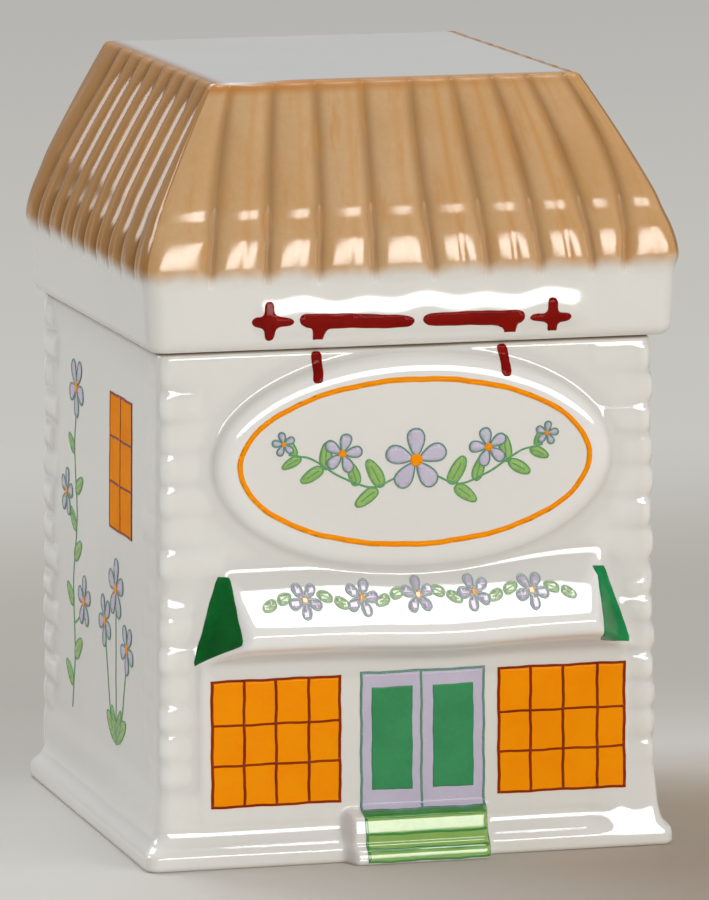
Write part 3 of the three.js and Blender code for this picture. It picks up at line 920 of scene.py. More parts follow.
def seal_profile():
    """Radius and height pairs from the ring's inner foot, round outside, back to the inner foot."""
    low, high = seal_low.z, seal_high.z
    across, up = seal_chamfer
    pitch = (high - low) / fin_count
    points = [(seal_inner, low + up), (seal_inner + across, low)]
    for fin in range(fin_count):
        for share in np.linspace(0, 1, 9):
            bulge = math.sin(math.pi * share) ** fin_bulge
            points.append((seal_high.x - fin_deep * (1 - bulge), low + pitch * (fin + share)))
    return points + [(seal_inner + across, high), (seal_inner, high - up)]


spin_columns = Columns(30, 2)
seal_rings = [circle(spin_columns, radius, height) for radius, height in seal_profile()]
seal_skin = loft("soft_seal_ring", seal_rings, joined=True)

# %% [markdown]
# ## Where a colour lies
#
# A fired colour follows the clay under it. So each wall gets a function from place and height to the
# point of its skin, made from the same fields as the skin. Moving a little along both directions
# gives the slope, and with it the direction in which a layer of colour stands proud.

# %% Points of a wall and of the band
def wall_surface(side):
    out, along = OUT[side], ALONG[side]

    def at(u, z):
        reach = wall_half + wall_fields[side].at(u, z)
        spots = np.column_stack([np.outer(u, along) + np.outer(reach, out), z])
        spots[:, :2] += np.outer(ripple(spots), out)
        return spots

    return at


def band_surface(u, z):
    under = np.clip((body_height + band_round - z) / band_round, 0, 0.999)
    reach = band_reach(z) - band_round * (1 - np.sqrt(1 - under**2))
    spots = np.column_stack([u, -reach, z])
    spots[:, 1] -= band_relief(u, z) + ripple(spots) * lid_ripple
    return spots


def lifted(surface, u, z, lift):
    """Points of a surface, moved out along its normal."""
    step = 0.05
    across = surface(u + step, z) - surface(u - step, z)
    upward = surface(u, z + step) - surface(u, z - step)
    normal = np.cross(across, upward)
    return surface(u, z) + lift * normal / np.linalg.norm(normal, axis=1)[:, None]


front_wall, left_wall, right_wall = [wall_surface(side) for side in (FRONT, LEFT, RIGHT)]
print("front wall at the door:", front_wall(np.zeros(1), np.full(1, 15.0)).round(2)[0])

# %% [markdown]
# ## Layers of fired colour
#
# The colours are printed as a thin sheet, laid on the glaze and fired into it. Here each is a closed
# skin that stands a twentieth of a millimetre proud, or up to twice that: outlines are cut into small
# edges, filled with triangles, lifted to the wall, and given an underside and a rim. A picture mapped
# on the wall would be easier, but a real edge stays sharp at any distance and follows every fillet.

# %% Tools for outlines
hand_size = 0.035


def even_steps(loop, pitch):
    """Cuts the edges of a closed outline so that none is longer than the pitch."""
    loop = np.asarray(loop, float)
    cut = []
    for a, b in zip(loop, np.roll(loop, -1, axis=0)):
        steps = max(1, int(math.ceil(np.linalg.norm(b - a) / pitch)))
        cut += [a + (b - a) * n / steps for n in range(steps)]
    return np.array(cut)


def rounded(loop, passes, cut):
    """Rounds an outline by cutting a share off both ends of every edge again and again."""
    loop = np.asarray(loop, float)
    for _ in range(passes):
        after = np.roll(loop, -1, axis=0)
        loop = np.stack([loop * (1 - cut) + after * cut, loop * cut + after * (1 - cut)], 1).reshape(-1, 2)
    return loop


def inside_of(loop, spots):
    """Which spots lie inside a closed outline."""
    x, z = spots[:, :1], spots[:, 1:]
    a, b = loop, np.roll(loop, -1, axis=0)
    crosses = (a[:, 1] > z) != (b[:, 1] > z)
    slope = np.where(b[:, 1] == a[:, 1], 1.0, b[:, 1] - a[:, 1])
    at = a[:, 0] + (z - a[:, 1]) / slope * (b[:, 0] - a[:, 0])
    return (crosses & (x < at)).sum(1) % 2 == 1


def covered(shapes, spots):
    """Which spots lie in any shape and not in that shape's holes."""
    found = np.zeros(len(spots), bool)
    for outline, holes in shapes:
        on = inside_of(outline, spots)
        for hole in holes:
            on &= ~inside_of(hole, spots)
        found |= on
    return found


def by_hand(spots):
    """The small unevenness of a printed and hand-laid line."""
    x, z = spots.T
    across = np.sin(1.1 * z + 0.4 * x) + 0.5 * np.sin(2.9 * z - 0.7 * x + 2)
    upward = np.sin(0.9 * x - 0.3 * z + 1) + 0.5 * np.sin(2.3 * x + 0.6 * z)
    return spots + hand_size * np.column_stack([across, upward])


def rectangle(left, right, foot, head):
    return [(left, foot), (right, foot), (right, head), (left, head)]


def oval(centre_x, centre_z, half_wide, half_high, count=120):
    turn = np.linspace(0, 2 * math.pi, count, endpoint=False)
    return np.column_stack([centre_x + half_wide * np.cos(turn), centre_z + half_high * np.sin(turn)])


# %% Make a layer
LAYER_PROUD = 0.05
LAYER_SUNK = 0.03


def layer(name, shapes, surface, pitch, proud):
    """A thin closed skin on a surface. Each shape is an outline and a list of the holes in it."""
    shapes = [(even_steps(outline, pitch), [even_steps(hole, pitch) for hole in holes])
              for outline, holes in shapes]
    points, edges = [], []
    for outline, holes in shapes:
        for loop in (outline, *holes):
            start, count = len(points), len(loop)
            points += [Vector(spot) for spot in loop]
            edges += [(start + n, start + (n + 1) % count) for n in range(count)]
    spots = np.array(points)
    columns, rows = [np.arange(low, high, pitch) for low, high in zip(spots.min(0), spots.max(0))]
    grid = np.stack(np.meshgrid(columns, rows), -1).reshape(-1, 2) + pitch * 0.37
    points += [Vector(spot) for spot in grid[covered(shapes, grid)]]
    flat, _, faces = delaunay_2d_cdt(points, edges, [], 0, 1e-5, False)[:3]
    flat = np.array([tuple(spot) for spot in flat])
    faces = np.array(faces)
    return layer_skin(name, flat, faces[covered(shapes, flat[faces].mean(1))], surface, proud)


def layer_skin(name, flat, faces, surface, proud):
    """Turns a flat mesh into a thin closed skin lying on a surface."""
    used, faces = np.unique(faces, return_inverse=True)
    faces = faces.reshape(-1, 3)
    u, z = by_hand(flat[used]).T
    count = len(used)
    points = np.vstack([lifted(surface, u, z, proud), lifted(surface, u, z, -LAYER_SUNK)])
    rim = np.concatenate([faces[:, [0, 1]], faces[:, [1, 2]], faces[:, [2, 0]]]).tolist()
    known = {tuple(edge) for edge in rim}
    walls = [(a, a + count, b + count, b) for a, b in rim if (b, a) not in known]
    return skin(name, place_on_axis(points), faces.tolist() + (faces[:, ::-1] + count).tolist() + walls)


def fire(name, shapes, surface, colour, *nodes, body="jar", pitch=0.6, thick=1.0):
    """Lays a colour on a surface. A colour is a finish with the slot that the record has for it."""
    return dress(layer(name, shapes, surface, pitch, LAYER_PROUD * thick), body, *colour, *nodes)


# %% [markdown]
# ## Effects that finishes share
#
# Effects that finishes have in common are node groups. "Glaze ripple" is the faint unevenness of a
# poured glaze. "Firing mottle" lets a colour drift between two tones, as kiln heat does. A third
# group, "Pin specks", puts in the few small brown specks of iron that white clay always has.

# %% Tools for nodes
class Wire:
    """A node's output. Sums, differences and products of wires add the nodes that work them out."""

    def __init__(self, socket):
        self.socket = socket
        self.tree = socket.id_data

    def __add__(self, other):
        return calculate("ADD", self, other)

    def __sub__(self, other):
        return calculate("SUBTRACT", self, other)

    def __rsub__(self, other):
        return calculate("SUBTRACT", other, self)

    def __mul__(self, other):
        return calculate("MULTIPLY", self, other)

    def spread(self, low, high, to_low=0.0, to_high=1.0):
        """Stretches the range low..high to another range, with soft ends."""
        links = {"Value": self, "From Min": low, "From Max": high, "To Min": to_low, "To Max": to_high}
        return add_node(self.tree, "ShaderNodeMapRange", "Result", links, interpolation_type="SMOOTHSTEP")

    def beside(self, output):
        """Another output of the same node."""
        return Wire(self.socket.node.outputs[output])


def feed(socket, value):
    """Joins a wire to a socket, or sets the socket's own value."""
    if isinstance(value, Wire):
        value.tree.links.new(value.socket, socket)
    else:
        socket.default_value = value


def add_node(tree, kind, output, links=(), **settings):
    """Adds a node, sets its properties, feeds its inputs by name or number and returns an output."""
    node = tree.nodes.new(kind)
    for key, value in settings.items():
        setattr(node, key, value)
    for socket, value in dict(links).items():
        feed(node.inputs[socket], value)
    return Wire(node.outputs[output])


def tree_of(*values):
    return next(value.tree for value in values if isinstance(value, Wire))


def calculate(operation, a, b):
    return add_node(tree_of(a, b), "ShaderNodeMath", 0, {0: a, 1: b}, operation=operation)


def mix(share, a, b, blend="MIX"):
    links = {0: share, 6: a, 7: b}
    return add_node(tree_of(share, a, b), "ShaderNodeMix", 2, links, data_type="RGBA", blend_type=blend)


def place_of(tree):
    return add_node(tree, "ShaderNodeTexCoord", "Object")


def place_parts(tree):
    x = add_node(tree, "ShaderNodeSeparateXYZ", "X", {0: place_of(tree)})
    return x, x.beside("Y"), x.beside("Z")


def noise(place, scale, detail=2.0, rough=0.5):
    links = {"Vector": place, "Scale": scale, "Detail": detail, "Roughness": rough}
    return add_node(place.tree, "ShaderNodeTexNoise", "Fac", links)


def noted(tree, word):
    """A number that the mesh keeps for every point."""
    return add_node(tree, "ShaderNodeAttribute", "Fac", attribute_name=word)


def use_group(tree, group, **values):
    links = {label.replace("_", " "): value for label, value in values.items()}
    return add_node(tree, "ShaderNodeGroup", 0, links, node_tree=group)


# %% The shared groups
FLOAT = "NodeSocketFloat"
COLOUR = "NodeSocketColor"


def new_group(name, inputs, output, kind):
    """An empty group; returns it, a wire from each of its inputs, and the socket for its result."""
    group = bpy.data.node_groups.new(name, "ShaderNodeTree")
    for label, socket_kind, default in inputs:
        socket = group.interface.new_socket(label, in_out="INPUT", socket_type=socket_kind)
        socket.default_value = default
    group.interface.new_socket(output, in_out="OUTPUT", socket_type=kind)
    given = [Wire(socket) for socket in group.nodes.new("NodeGroupInput").outputs[:len(inputs)]]
    return group, given, group.nodes.new("NodeGroupOutput").inputs[output]


def glaze_ripple():
    inputs = [("Wave Scale", FLOAT, 120.0), ("Peel Scale", FLOAT, 900.0)]
    group, (wave_scale, peel_scale), height = new_group("Glaze ripple", inputs, "Height", FLOAT)
    place = place_of(group)
    feed(height, noise(place, wave_scale) + noise(place, peel_scale, 1.0) * 0.045)
    return group


def firing_mottle():
    inputs = [("Colour", COLOUR, (0.8, 0.8, 0.8, 1)), ("Second", COLOUR, (0.7, 0.7, 0.7, 1)),
              ("Cloud Scale", FLOAT, 90.0), ("Grain Scale", FLOAT, 1600.0)]
    group, given, colour = new_group("Firing mottle", inputs, "Colour", COLOUR)
    first, second, cloud_scale, grain_scale = given
    place = place_of(group)
    cloud = noise(place, cloud_scale, 4.0).spread(0.35, 0.68)
    grain = noise(place, grain_scale, 2.0, 0.7).spread(0.35, 0.7)
    feed(colour, mix(cloud * 0.7 + grain * 0.3, first, second))
    return group


def pin_specks():
    inputs = [("Speck Scale", FLOAT, 260.0), ("Speck Share", FLOAT, 0.03)]
    group, (scale, share), mask = new_group("Pin specks", inputs, "Mask", FLOAT)
    cell = add_node(group, "ShaderNodeTexVoronoi", "Color", {"Vector": place_of(group), "Scale": scale})
    dot = cell.beside("Distance").spread(0.08, 0.02)
    feed(mask, calculate("LESS_THAN", cell, share) * dot)
    return group


ripple_group, mottle_group, speck_group = glaze_ripple(), firing_mottle(), pin_specks()
print("node groups:", ripple_group.name, mottle_group.name, speck_group.name, sep=" | ")

# %% [markdown]
# ## Finishes
#
# All the clay shares one clear glaze: hardly rough, a little stronger in gloss than plastic, and
# never quite flat. What changes is the colour under it. White porcelain is warm and nearly even,
# with painted light on ridges and painted shade in hollows. The roof was sprayed with a tan that
# thins out to white on the band and just over the edge of the flat top. It runs together in the
# furrows, where it is darker, and along the top edge, where it is orange.

# %% Tools for finishes
glaze_index = 1.68
enamel_index = 1.3


def finish(name, roughness, index=glaze_index):
    """A material with its Principled shader; returns both and the tree."""
    material = bpy.data.materials.new(name)
    material.use_nodes = True
    tree = material.node_tree
    shader = tree.nodes["Principled BSDF"]
    shader.inputs["Roughness"].default_value = roughness
    shader.inputs["IOR"].default_value = index
    return material, tree, shader


def add_ripple(tree, shader, depth, **sizes):
    links = {"Height": use_group(tree, ripple_group, **sizes), "Strength": 1.0, "Distance": depth}
    feed(shader.inputs["Normal"], add_node(tree, "ShaderNodeBump", "Normal", links))


# %% White porcelain
WHITE = (0.81, 0.795, 0.76, 1)
WHITE_DRIFT = (0.79, 0.772, 0.73, 1)
WHITE_PAINTED_LIGHT = (0.87, 0.86, 0.835, 1)
WHITE_PAINTED_SHADE = (0.735, 0.72, 0.69, 1)
IRON = (0.28, 0.14, 0.05, 1)
BARE_CLAY = (0.74, 0.70, 0.63, 1)
SEAT_STAIN_AND_SHADE = (0.2, 0.155, 0.11, 1)
painted_light_full = -0.22
painted_shade_full = 0.13


def white_porcelain():
    """White glaze, bare at the foot's edge, with a dark line under the lid, partly a stained joint and
    partly painted shadow, that sits lower on the left.
    """
    material, tree, shader = finish("white porcelain", 0.07)
    white = use_group(tree, mottle_group, Colour=WHITE, Second=WHITE_DRIFT, Cloud_Scale=45.0)
    hollow = noted(tree, "hollow")
    # Painted light on ridges and painted shade in hollows, read from the hollow marks.
    white = mix(hollow.spread(0.0, painted_light_full), white, WHITE_PAINTED_LIGHT)
    white = mix(hollow.spread(0.0, painted_shade_full), white, WHITE_PAINTED_SHADE)
    glazed = mix(use_group(tree, speck_group) * 0.75, white, IRON)
    x, _, height = place_parts(tree)
    bare = height.spread(0.6 * MM, 0.1 * MM)
    # The dark line under the lid is partly a stained joint and partly painted shadow under the band; it
    # reaches lower on the left.
    height = height + x.spread(-28.6 * MM, -29.0 * MM, 0.0, 0.3 * MM)
    seat_stain_and_shade = height.spread((body_height - 0.55) * MM, (body_height - 0.2) * MM)
    feed(shader.inputs["Base Color"], mix(seat_stain_and_shade, mix(bare, glazed, BARE_CLAY), SEAT_STAIN_AND_SHADE))
    feed(shader.inputs["Roughness"], bare.spread(0.0, 1.0, 0.07, 0.7))
    add_ripple(tree, shader, 0.04 * MM)
    return material


# %% Tan and white roof
TAN = (0.65, 0.405, 0.205, 1)
TAN_DRIFT = (0.6, 0.35, 0.15, 1)
OCHRE = (0.38, 0.2, 0.067, 1)
ORANGE_POOL = (0.6, 0.28, 0.065, 1)
SIENNA = (0.4, 0.15, 0.025, 1)
SIDE_PAINTED_SHADE_TAN = (0.31, 0.137, 0.018, 1)
SIDE_PAINTED_SHADE_FURROW = (0.215, 0.09, 0.011, 1)
EDGE_POOL = (0.54, 0.21, 0.03, 1)


def roof_tan(tree, z, furrow, side):
    """The tan with what makes it lively: darker furrows, orange creases and streaks along the ribs."""
    rib = noted(tree, "rib")
    tan = use_group(tree, mottle_group, Colour=TAN, Second=TAN_DRIFT, Cloud_Scale=140.0)
    # Painted shade: the roof's sides and back take a darker tan than its front.
    tan = mix(side, tan, SIDE_PAINTED_SHADE_TAN)
    tan = mix(rib.spread(-1.0, 5.0, 0.0, 0.25), tan, ORANGE_POOL)
    deep = furrow.spread(0.2, 0.95)
    tan = mix(deep * 0.75, tan, mix(side, OCHRE, SIDE_PAINTED_SHADE_FURROW))
    along_rib = add_node(tree, "ShaderNodeCombineXYZ", 0, {"X": rib, "Y": z * 45.0})
    streaks = noise(along_rib, 3.4, 3.0, 0.6).spread(0.5, 0.7, 0.0, 0.5)
    streaks = calculate("MAXIMUM", streaks, noted(tree, "crease") * 0.6)
    tan = mix(streaks, tan, ORANGE_POOL)
    pooled = noise(place_of(tree), 60.0, 3.0).spread(0.5, 0.75) * deep
    return mix(pooled * 0.5, tan, SIENNA), deep


def flat_top_share(x, y, level):
    """1 on the white flat top, 0 on the tan, which runs over the front and the left edge."""
    top = level.spread((total_height - 0.25) * MM, (total_height - 0.03) * MM)
    reach = y - x.spread(-19 * MM, -9 * MM, 0.0, 2.4 * MM)
    behind = reach.spread(top_front * MM, (top_front + 1.6) * MM)
    return top * (behind * x.spread((top_left - 0.3) * MM, (top_left + 2.2) * MM))


def roof_dullness(z, deep, share):
    """Where the gloss is broken: deep furrows near the eave, and the rim of the flat top."""
    above = z.spread((fade_low - 0.4) * MM, (fade_low + 0.4) * MM)
    above = above * z.spread((eave + 9) * MM, (eave + 5) * MM)
    rim = share * z.spread((total_height - 0.9) * MM, (total_height - 0.5) * MM)
    return calculate("MAXIMUM", deep * deep * above, rim * 0.6)


def roof_porcelain():
    material, tree, shader = finish("tan and white porcelain", 0.09)
    x, y, z = place_parts(tree)
    furrow = noted(tree, "furrow")
    # Share of painted shade on the roof's sides and back, read from the rib numbers.
    side = noted(tree, "rib").spread(8.0, 12.0, 0.0, 0.9)
    white = use_group(tree, mottle_group, Colour=WHITE, Second=WHITE_DRIFT, Cloud_Scale=45.0)
    tan, deep = roof_tan(tree, z, furrow, side)
    wander = noise(place_of(tree), 350.0) * (1.2 * MM)
    sprayed = (z + furrow * (0.8 * MM) + wander).spread((eave - 0.9) * MM, (eave + 1.3) * MM)
    level = z + wander * 0.15 - x.spread(20.5 * MM, 20.9 * MM, 0.0, 0.3 * MM)
    brim = level.spread((total_height - 1.5) * MM, (total_height - 0.4) * MM) * (1.0 - side)
    tan = mix(brim * x.spread(30 * MM, -25 * MM, 0.15, 0.9), tan, EDGE_POOL)
    share = sprayed * (1.0 - flat_top_share(x, y, level))
    feed(shader.inputs["Base Color"], mix(share, white, tan))
    feed(shader.inputs["Roughness"], roof_dullness(z, deep, share).spread(0.35, 0.9, 0.165, 0.6))
    add_ripple(tree, shader, 0.02 * MM, Wave_Scale=110.0)
    return material


# %% Fired colours
def enamel(name, slot_name, colour, second, index=enamel_index, thin=0.0):
    """A printed colour with its slot; where thin is above 0 the white shows through in small specks."""
    material, tree, shader = finish(name, 0.1, index)
    tone = use_group(tree, mottle_group, Colour=(*colour, 1), Second=(*second, 1), Cloud_Scale=220.0)
    if thin:
        worn = noise(place_of(tree), 2600.0, 2.0, 0.7).spread(0.62 - thin * 0.2, 0.72 - thin * 0.2)
        tone = mix(worn * thin, tone, WHITE)
    feed(shader.inputs["Base Color"], tone)
    add_ripple(tree, shader, 0.04 * MM)
    return material, slot_name


def soft_rubber():
    material, tree, shader = finish("soft seal", 0.45, 1.45)
    tone = use_group(tree, mottle_group, Colour=(0.72, 0.72, 0.68, 1), Second=(0.66, 0.66, 0.6, 1))
    feed(shader.inputs["Base Color"], tone)
    shader.inputs["Subsurface Weight"].default_value = 0.2
    shader.inputs["Subsurface Radius"].default_value = (2 * MM, 2 * MM, 2 * MM)
    add_ripple(tree, shader, 0.02 * MM, Peel_Scale=1500.0)
    return material


orange = enamel("orange enamel", "orange_enamel", (1.0, 0.325, 0.001), (0.98, 0.285, 0.001), 1.15)
# A slightly darker copy of the orange for the side walls' panes: painted shade.
shaded_side_orange = enamel("amber enamel", "orange_enamel", (0.95, 0.29, 0.003), (0.86, 0.24, 0.002), 1.03)
red_brown = enamel("red-brown enamel", "red_brown_enamel", (0.32, 0.035, 0.002), (0.22, 0.02, 0.001), 1.15)
red = enamel("red enamel", "red_enamel", (0.26, 0.004, 0.001), (0.2, 0.002, 0.001), 1.22)
green = enamel("green enamel", "green_enamel", (0.003, 0.15, 0.025), (0.002, 0.09, 0.012))
lighter_green = enamel("lighter green enamel", "green_enamel", (0.01, 0.27, 0.08), (0.005, 0.18, 0.04))
door_green = enamel("door green enamel", "door_green_enamel", (0.05, 0.31, 0.12), (0.04, 0.26, 0.1))
lilac = enamel("lilac enamel", "lilac_enamel", (0.6, 0.55, 0.68), (0.55, 0.5, 0.64), thin=0.12)
teal = enamel("teal enamel", "teal_enamel", (0.12, 0.28, 0.22), (0.15, 0.32, 0.26), thin=0.15)
light_green = enamel("light green enamel", "light_green_enamel", (0.34, 0.54, 0.17), (0.27, 0.47, 0.12))

dress(body_skin, "jar", white_porcelain(), "white_porcelain", "jar_body")
dress(lid_skin, "roof_lid", roof_porcelain(), "tan_and_white_porcelain", "lid")
dress(seal_skin, "roof_lid", soft_rubber(), "soft_seal", "lid_seal")
print("finishes:", len(bpy.data.materials))

# %% [markdown]
# ## Windows, door and steps
#
# The shop front is printed: orange panes under red-brown lines, a lilac double door with green
# panels, and green steps. The lines were drawn by hand for the print, so the rows and columns aren't
# equal, and the orange runs out a little under the lines. The whole print sits slightly to the right.
# The side walls' panes take a slightly darker copy of the orange, which is painted shade.

# %% Windows
art_shift = 1.1
line_wide = 0.32
line_thin = 0.27
spill = 0.18
line_pitch = 0.5
line_thick = 1.6
column_shares = {"left": (0, 0.25, 0.5, 0.757, 1), "right": (0, 0.252, 0.512, 0.785, 1)}
row_shares = (0, 0.325, 0.646, 1)
side_column_shares = (0, 0.48, 1)
side_row_shares = (0, 0.34, 0.68, 1)


def flat_box(node, shift):
    """Left, right, foot and head of a front node, in place and height."""
    low, high = node_box(node)
    return low.x + shift, high.x + shift, low.z, high.z


def panes(box, columns, rows):
    """The outline of a window's lines and the holes between them."""
    left, right, foot, head = box
    wide, thin = line_wide / 2, line_thin / 2
    xs = [left + (right - left) * share for share in columns]
    zs = [foot + (head - foot) * share for share in rows]
    holes = [rectangle(a + wide, b - wide, c + thin, d - thin)
             for a, b in zip(xs, xs[1:]) for c, d in zip(zs, zs[1:])]
    return rectangle(left - wide, right + wide, foot - thin, head + thin), holes


def window(name, box, columns, rows, surface, glass):
    left, right, foot, head = box
    pane = rectangle(left - spill, right + spill * 0.4, foot - spill, head + spill * 0.3)
    fire(name + "_panes", [(pane, [])], surface, glass, name)
    fire(name + "_lines", [panes(box, columns, rows)], surface, red_brown, name + "_bars",
         pitch=line_pitch, thick=line_thick)


for word, shares in column_shares.items():
    name = "shop_window_" + word
    window(name, flat_box(name, art_shift), shares, row_shares, front_wall, orange)

for word, surface, way in (("left", left_wall, -1), ("right", right_wall, 1)):
    name = "side_window_" + word
    low, high = node_box(name)
    ends = sorted((way * (low.y - axis_y), way * (high.y - axis_y)))
    window(name, (*ends, low.z, high.z), side_column_shares, side_row_shares, surface, shaded_side_orange)

# %% Door and steps
door_shift = 1.45
door_half_line = 0.27 / 2
middle_left = 0.15
step_line = 0.3
step_lines_at = (0.45, 1.6, 3.3, 5.35)
step_pitch = 0.16
step_end_lines = 2.2
step_green = enamel("step green enamel", "light_green_enamel", (0.3, 0.5, 0.12), (0.24, 0.44, 0.09),
                    glaze_index)
step_line_green = enamel("step line enamel", "green_enamel", (0.04, 0.24, 0.03), (0.06, 0.29, 0.05),
                         glaze_index)


def door():
    left, right, foot, head = flat_box("door_leaves", door_shift)
    fire("door_lilac", [(rectangle(left, right, foot, head), [])], front_wall, lilac, "door_leaves")
    line = door_half_line
    middle = (left + right) / 2 - middle_left
    halves = ((left, middle), (middle, right))
    holes = [rectangle(a + line, b - line, foot, head - line) for a, b in halves]
    around = rectangle(left - line, right + line, foot - line, head + line)
    fire("door_line", [(around, holes)], front_wall, teal, "door_outline",
         pitch=line_pitch, thick=line_thick)
    for word in ("left", "right"):
        panel = rectangle(*flat_box("door_panel_" + word, door_shift))
        fire("door_green_" + word, [(panel, [])], front_wall, door_green, "door_panel_" + word, thick=1.5)
    return left, right, foot


def steps(left, right, head):
    half = step_line / 2
    foot = step_lines_at[0] - half
    paint = rectangle(left, right, foot, head)
    fire("step_paint", [(paint, [])], front_wall, step_green, "door_steps_paint", pitch=step_pitch)
    lines = [rectangle(left, right, z - half, z + half) for z in step_lines_at[:-1]]
    lines.append(rectangle(left, right, head - step_line * step_end_lines, head))
    lines += [rectangle(x - half, x + half, foot, head) for x in (left, right)]
    fire("step_lines", [(line, []) for line in lines], front_wall, step_line_green,
         pitch=step_pitch, thick=line_thick)


steps(*door())

# %% [markdown]
# ## Sign ring, awning ends and sign hanger
#
# A thin orange line rings the sign. Green ends close the awning, the right one in a lighter green, and a
# red hanger with two posts and two small crosses is painted where band and wall meet; its posts run
# on from the lid to the wall. Each is a hand-drawn outline, so it is given as the corners of that
# outline, rounded off.

# %% Ring, awning ends and hanger
ring_shift = 0.6
ring_line = 0.62
awning_ends = {
    "left": [(-22.2, 33.0), (-20.75, 32.95), (-20.35, 26.4), (-20.5, 25.9), (-25.15, 22.9)],
    "right": [(21.4, 32.5), (22.9, 32.35), (26.0, 23.6), (21.6, 24.2), (21.9, 31.4)],
}
bars = {
    "left": [(-13.05, 61.9), (-12.85, 62.4), (-12.2, 62.65), (-8.9, 62.55), (-1.5, 62.15), (-0.05, 61.85),
             (0.4, 61.4), (0.05, 60.85), (-0.8, 60.6), (-8.7, 60.85), (-9.9, 60.8), (-10.3, 59.2),
             (-11.35, 59.2), (-11.4, 60.95), (-12.2, 61.05), (-12.85, 61.4)],
    "right": [(1.25, 61.5), (1.6, 62.0), (2.55, 62.25), (8.4, 62.2), (12.4, 62.2), (13.1, 61.85),
              (13.1, 61.1), (12.7, 60.65), (12.25, 60.55), (12.0, 58.75), (10.95, 58.75), (10.7, 60.5),
              (6.3, 60.6), (1.95, 60.75), (1.4, 61.1)],
}
crosses = {
    "left": [(-18.4, 61.8), (-18.05, 62.35), (-17.0, 62.5), (-16.9, 64.1), (-15.9, 64.1), (-15.9, 62.5),
             (-14.0, 62.2), (-13.55, 61.75), (-13.95, 61.3), (-15.7, 61.2), (-15.85, 59.9), (-16.4, 59.65),
             (-16.9, 59.9), (-17.05, 61.15), (-18.05, 61.3)],
    "right": [(13.65, 61.15), (14.1, 61.6), (15.8, 61.6), (15.85, 63.2), (16.3, 63.45), (16.95, 63.2),
              (16.95, 61.7), (18.3, 61.65), (18.65, 61.2), (18.25, 60.7), (17.0, 60.55), (16.95, 59.4),
              (16.4, 59.3), (15.85, 59.6), (15.85, 60.6), (14.1, 60.8)],
}
posts = {
    "left": [(-11.25, 58.1), (-9.9, 58.1), (-9.95, 55.6), (-10.1, 54.5), (-11.2, 54.6), (-11.0, 56.2)],
    "right": [(10.45, 58.1), (11.75, 58.1), (11.95, 54.4), (10.65, 54.5), (10.75, 56.5)],
}
hanger_rounding = (2, 0.22)
awning_rounding = (1, 0.06)

ring_left, ring_right, ring_foot, ring_head = flat_box("sign_ring", ring_shift)
ring_middle = ((ring_left + ring_right) / 2, (ring_foot + ring_head) / 2)
ring_halves = ((ring_right - ring_left) / 2, (ring_head - ring_foot) / 2)
outer = oval(*ring_middle, *ring_halves)
inner = oval(*ring_middle, *(half - ring_line for half in ring_halves))
fire("sign_line", [(outer, [inner])], front_wall, orange, "sign_ring")

for word, awning_green in (("left", green), ("right", lighter_green)):
    end = rounded(awning_ends[word], *awning_rounding)
    fire("awning_green_" + word, [(end, [])], front_wall, awning_green, "awning_end_" + word, pitch=0.3)
    for part, outlines, surface, body in (("bar", bars, band_surface, "roof_lid"),
                                          ("cross", crosses, band_surface, "roof_lid"),
                                          ("post", posts, front_wall, "jar")):
        shape = rounded(outlines[word], *hanger_rounding)
        fire(f"hanger_red_{part}_{word}", [(shape, [])], surface, red, f"hanger_{part}_{word}",
             body=body, pitch=line_pitch)

# %% [markdown]
# ## Blossoms and leaves
#
# Sign, awning and side walls carry small plain flowers: five round petals, leaves in pairs and thin
# stems. Everything is made from two outlines, a petal and a leaf, each once as a filled shape and
# once as a line round it. Fills and lines are gathered per wall, so a wall needs only five layers.

# %% Outlines of petals, leaves and stems
vein_wide = 0.14
edge_line = 0.17
stem_wide = 0.22
stem_steps = 14
stem_soft = 9


def turned(loop, angle, at):
    """Turns an outline round the origin by an angle in degrees, then moves it."""
    c, s = math.cos(math.radians(angle)), math.sin(math.radians(angle))
    return np.asarray(loop) @ np.array([[c, s], [-s, c]]) + np.asarray(at)


def petal(long, wide, grow):
    turn = np.linspace(0, 2 * math.pi, 22, endpoint=False)
    along = long * (0.56 + 0.44 * np.cos(turn))
    across = wide / 2 * np.sin(turn) * (0.7 + 0.3 * np.cos(turn))
    return np.column_stack([along + grow * np.cos(turn), across + grow * np.sin(turn)])


def leaf(long, wide, grow):
    half = np.linspace(0, math.pi, 12)
    along = long * (1 - np.cos(half)) / 2
    across = wide / 2 * np.sin(half) ** 0.8 * (1.15 - 0.3 * along / long)
    upper = np.column_stack([along, across])
    loop = np.vstack([upper, upper[-2:0:-1] * (1, -1)])
    away = loop - np.array([long / 2, 0])
    return loop + grow * away / (np.linalg.norm(away, axis=1)[:, None] + 1e-9)


def ribbon(points, wide):
    """An outline with an even width along a soft curve through points."""
    points = np.asarray(points, float)
    places = np.linspace(0, len(points) - 1, stem_steps * (len(points) - 1) + 1)
    line = np.column_stack([np.interp(places, range(len(points)), column) for column in points.T])
    ends = stem_soft // 2
    longer = np.vstack([np.repeat(line[:1], ends, 0), line, np.repeat(line[-1:], ends, 0)])
    kernel = np.ones(stem_soft) / stem_soft
    line = np.column_stack([np.convolve(column, kernel, "valid") for column in longer.T])
    step = np.gradient(line, axis=0)
    normal = np.column_stack([-step[:, 1], step[:, 0]]) / np.linalg.norm(step, axis=1)[:, None]
    return np.vstack([line + normal * wide / 2, (line - normal * wide / 2)[::-1]])


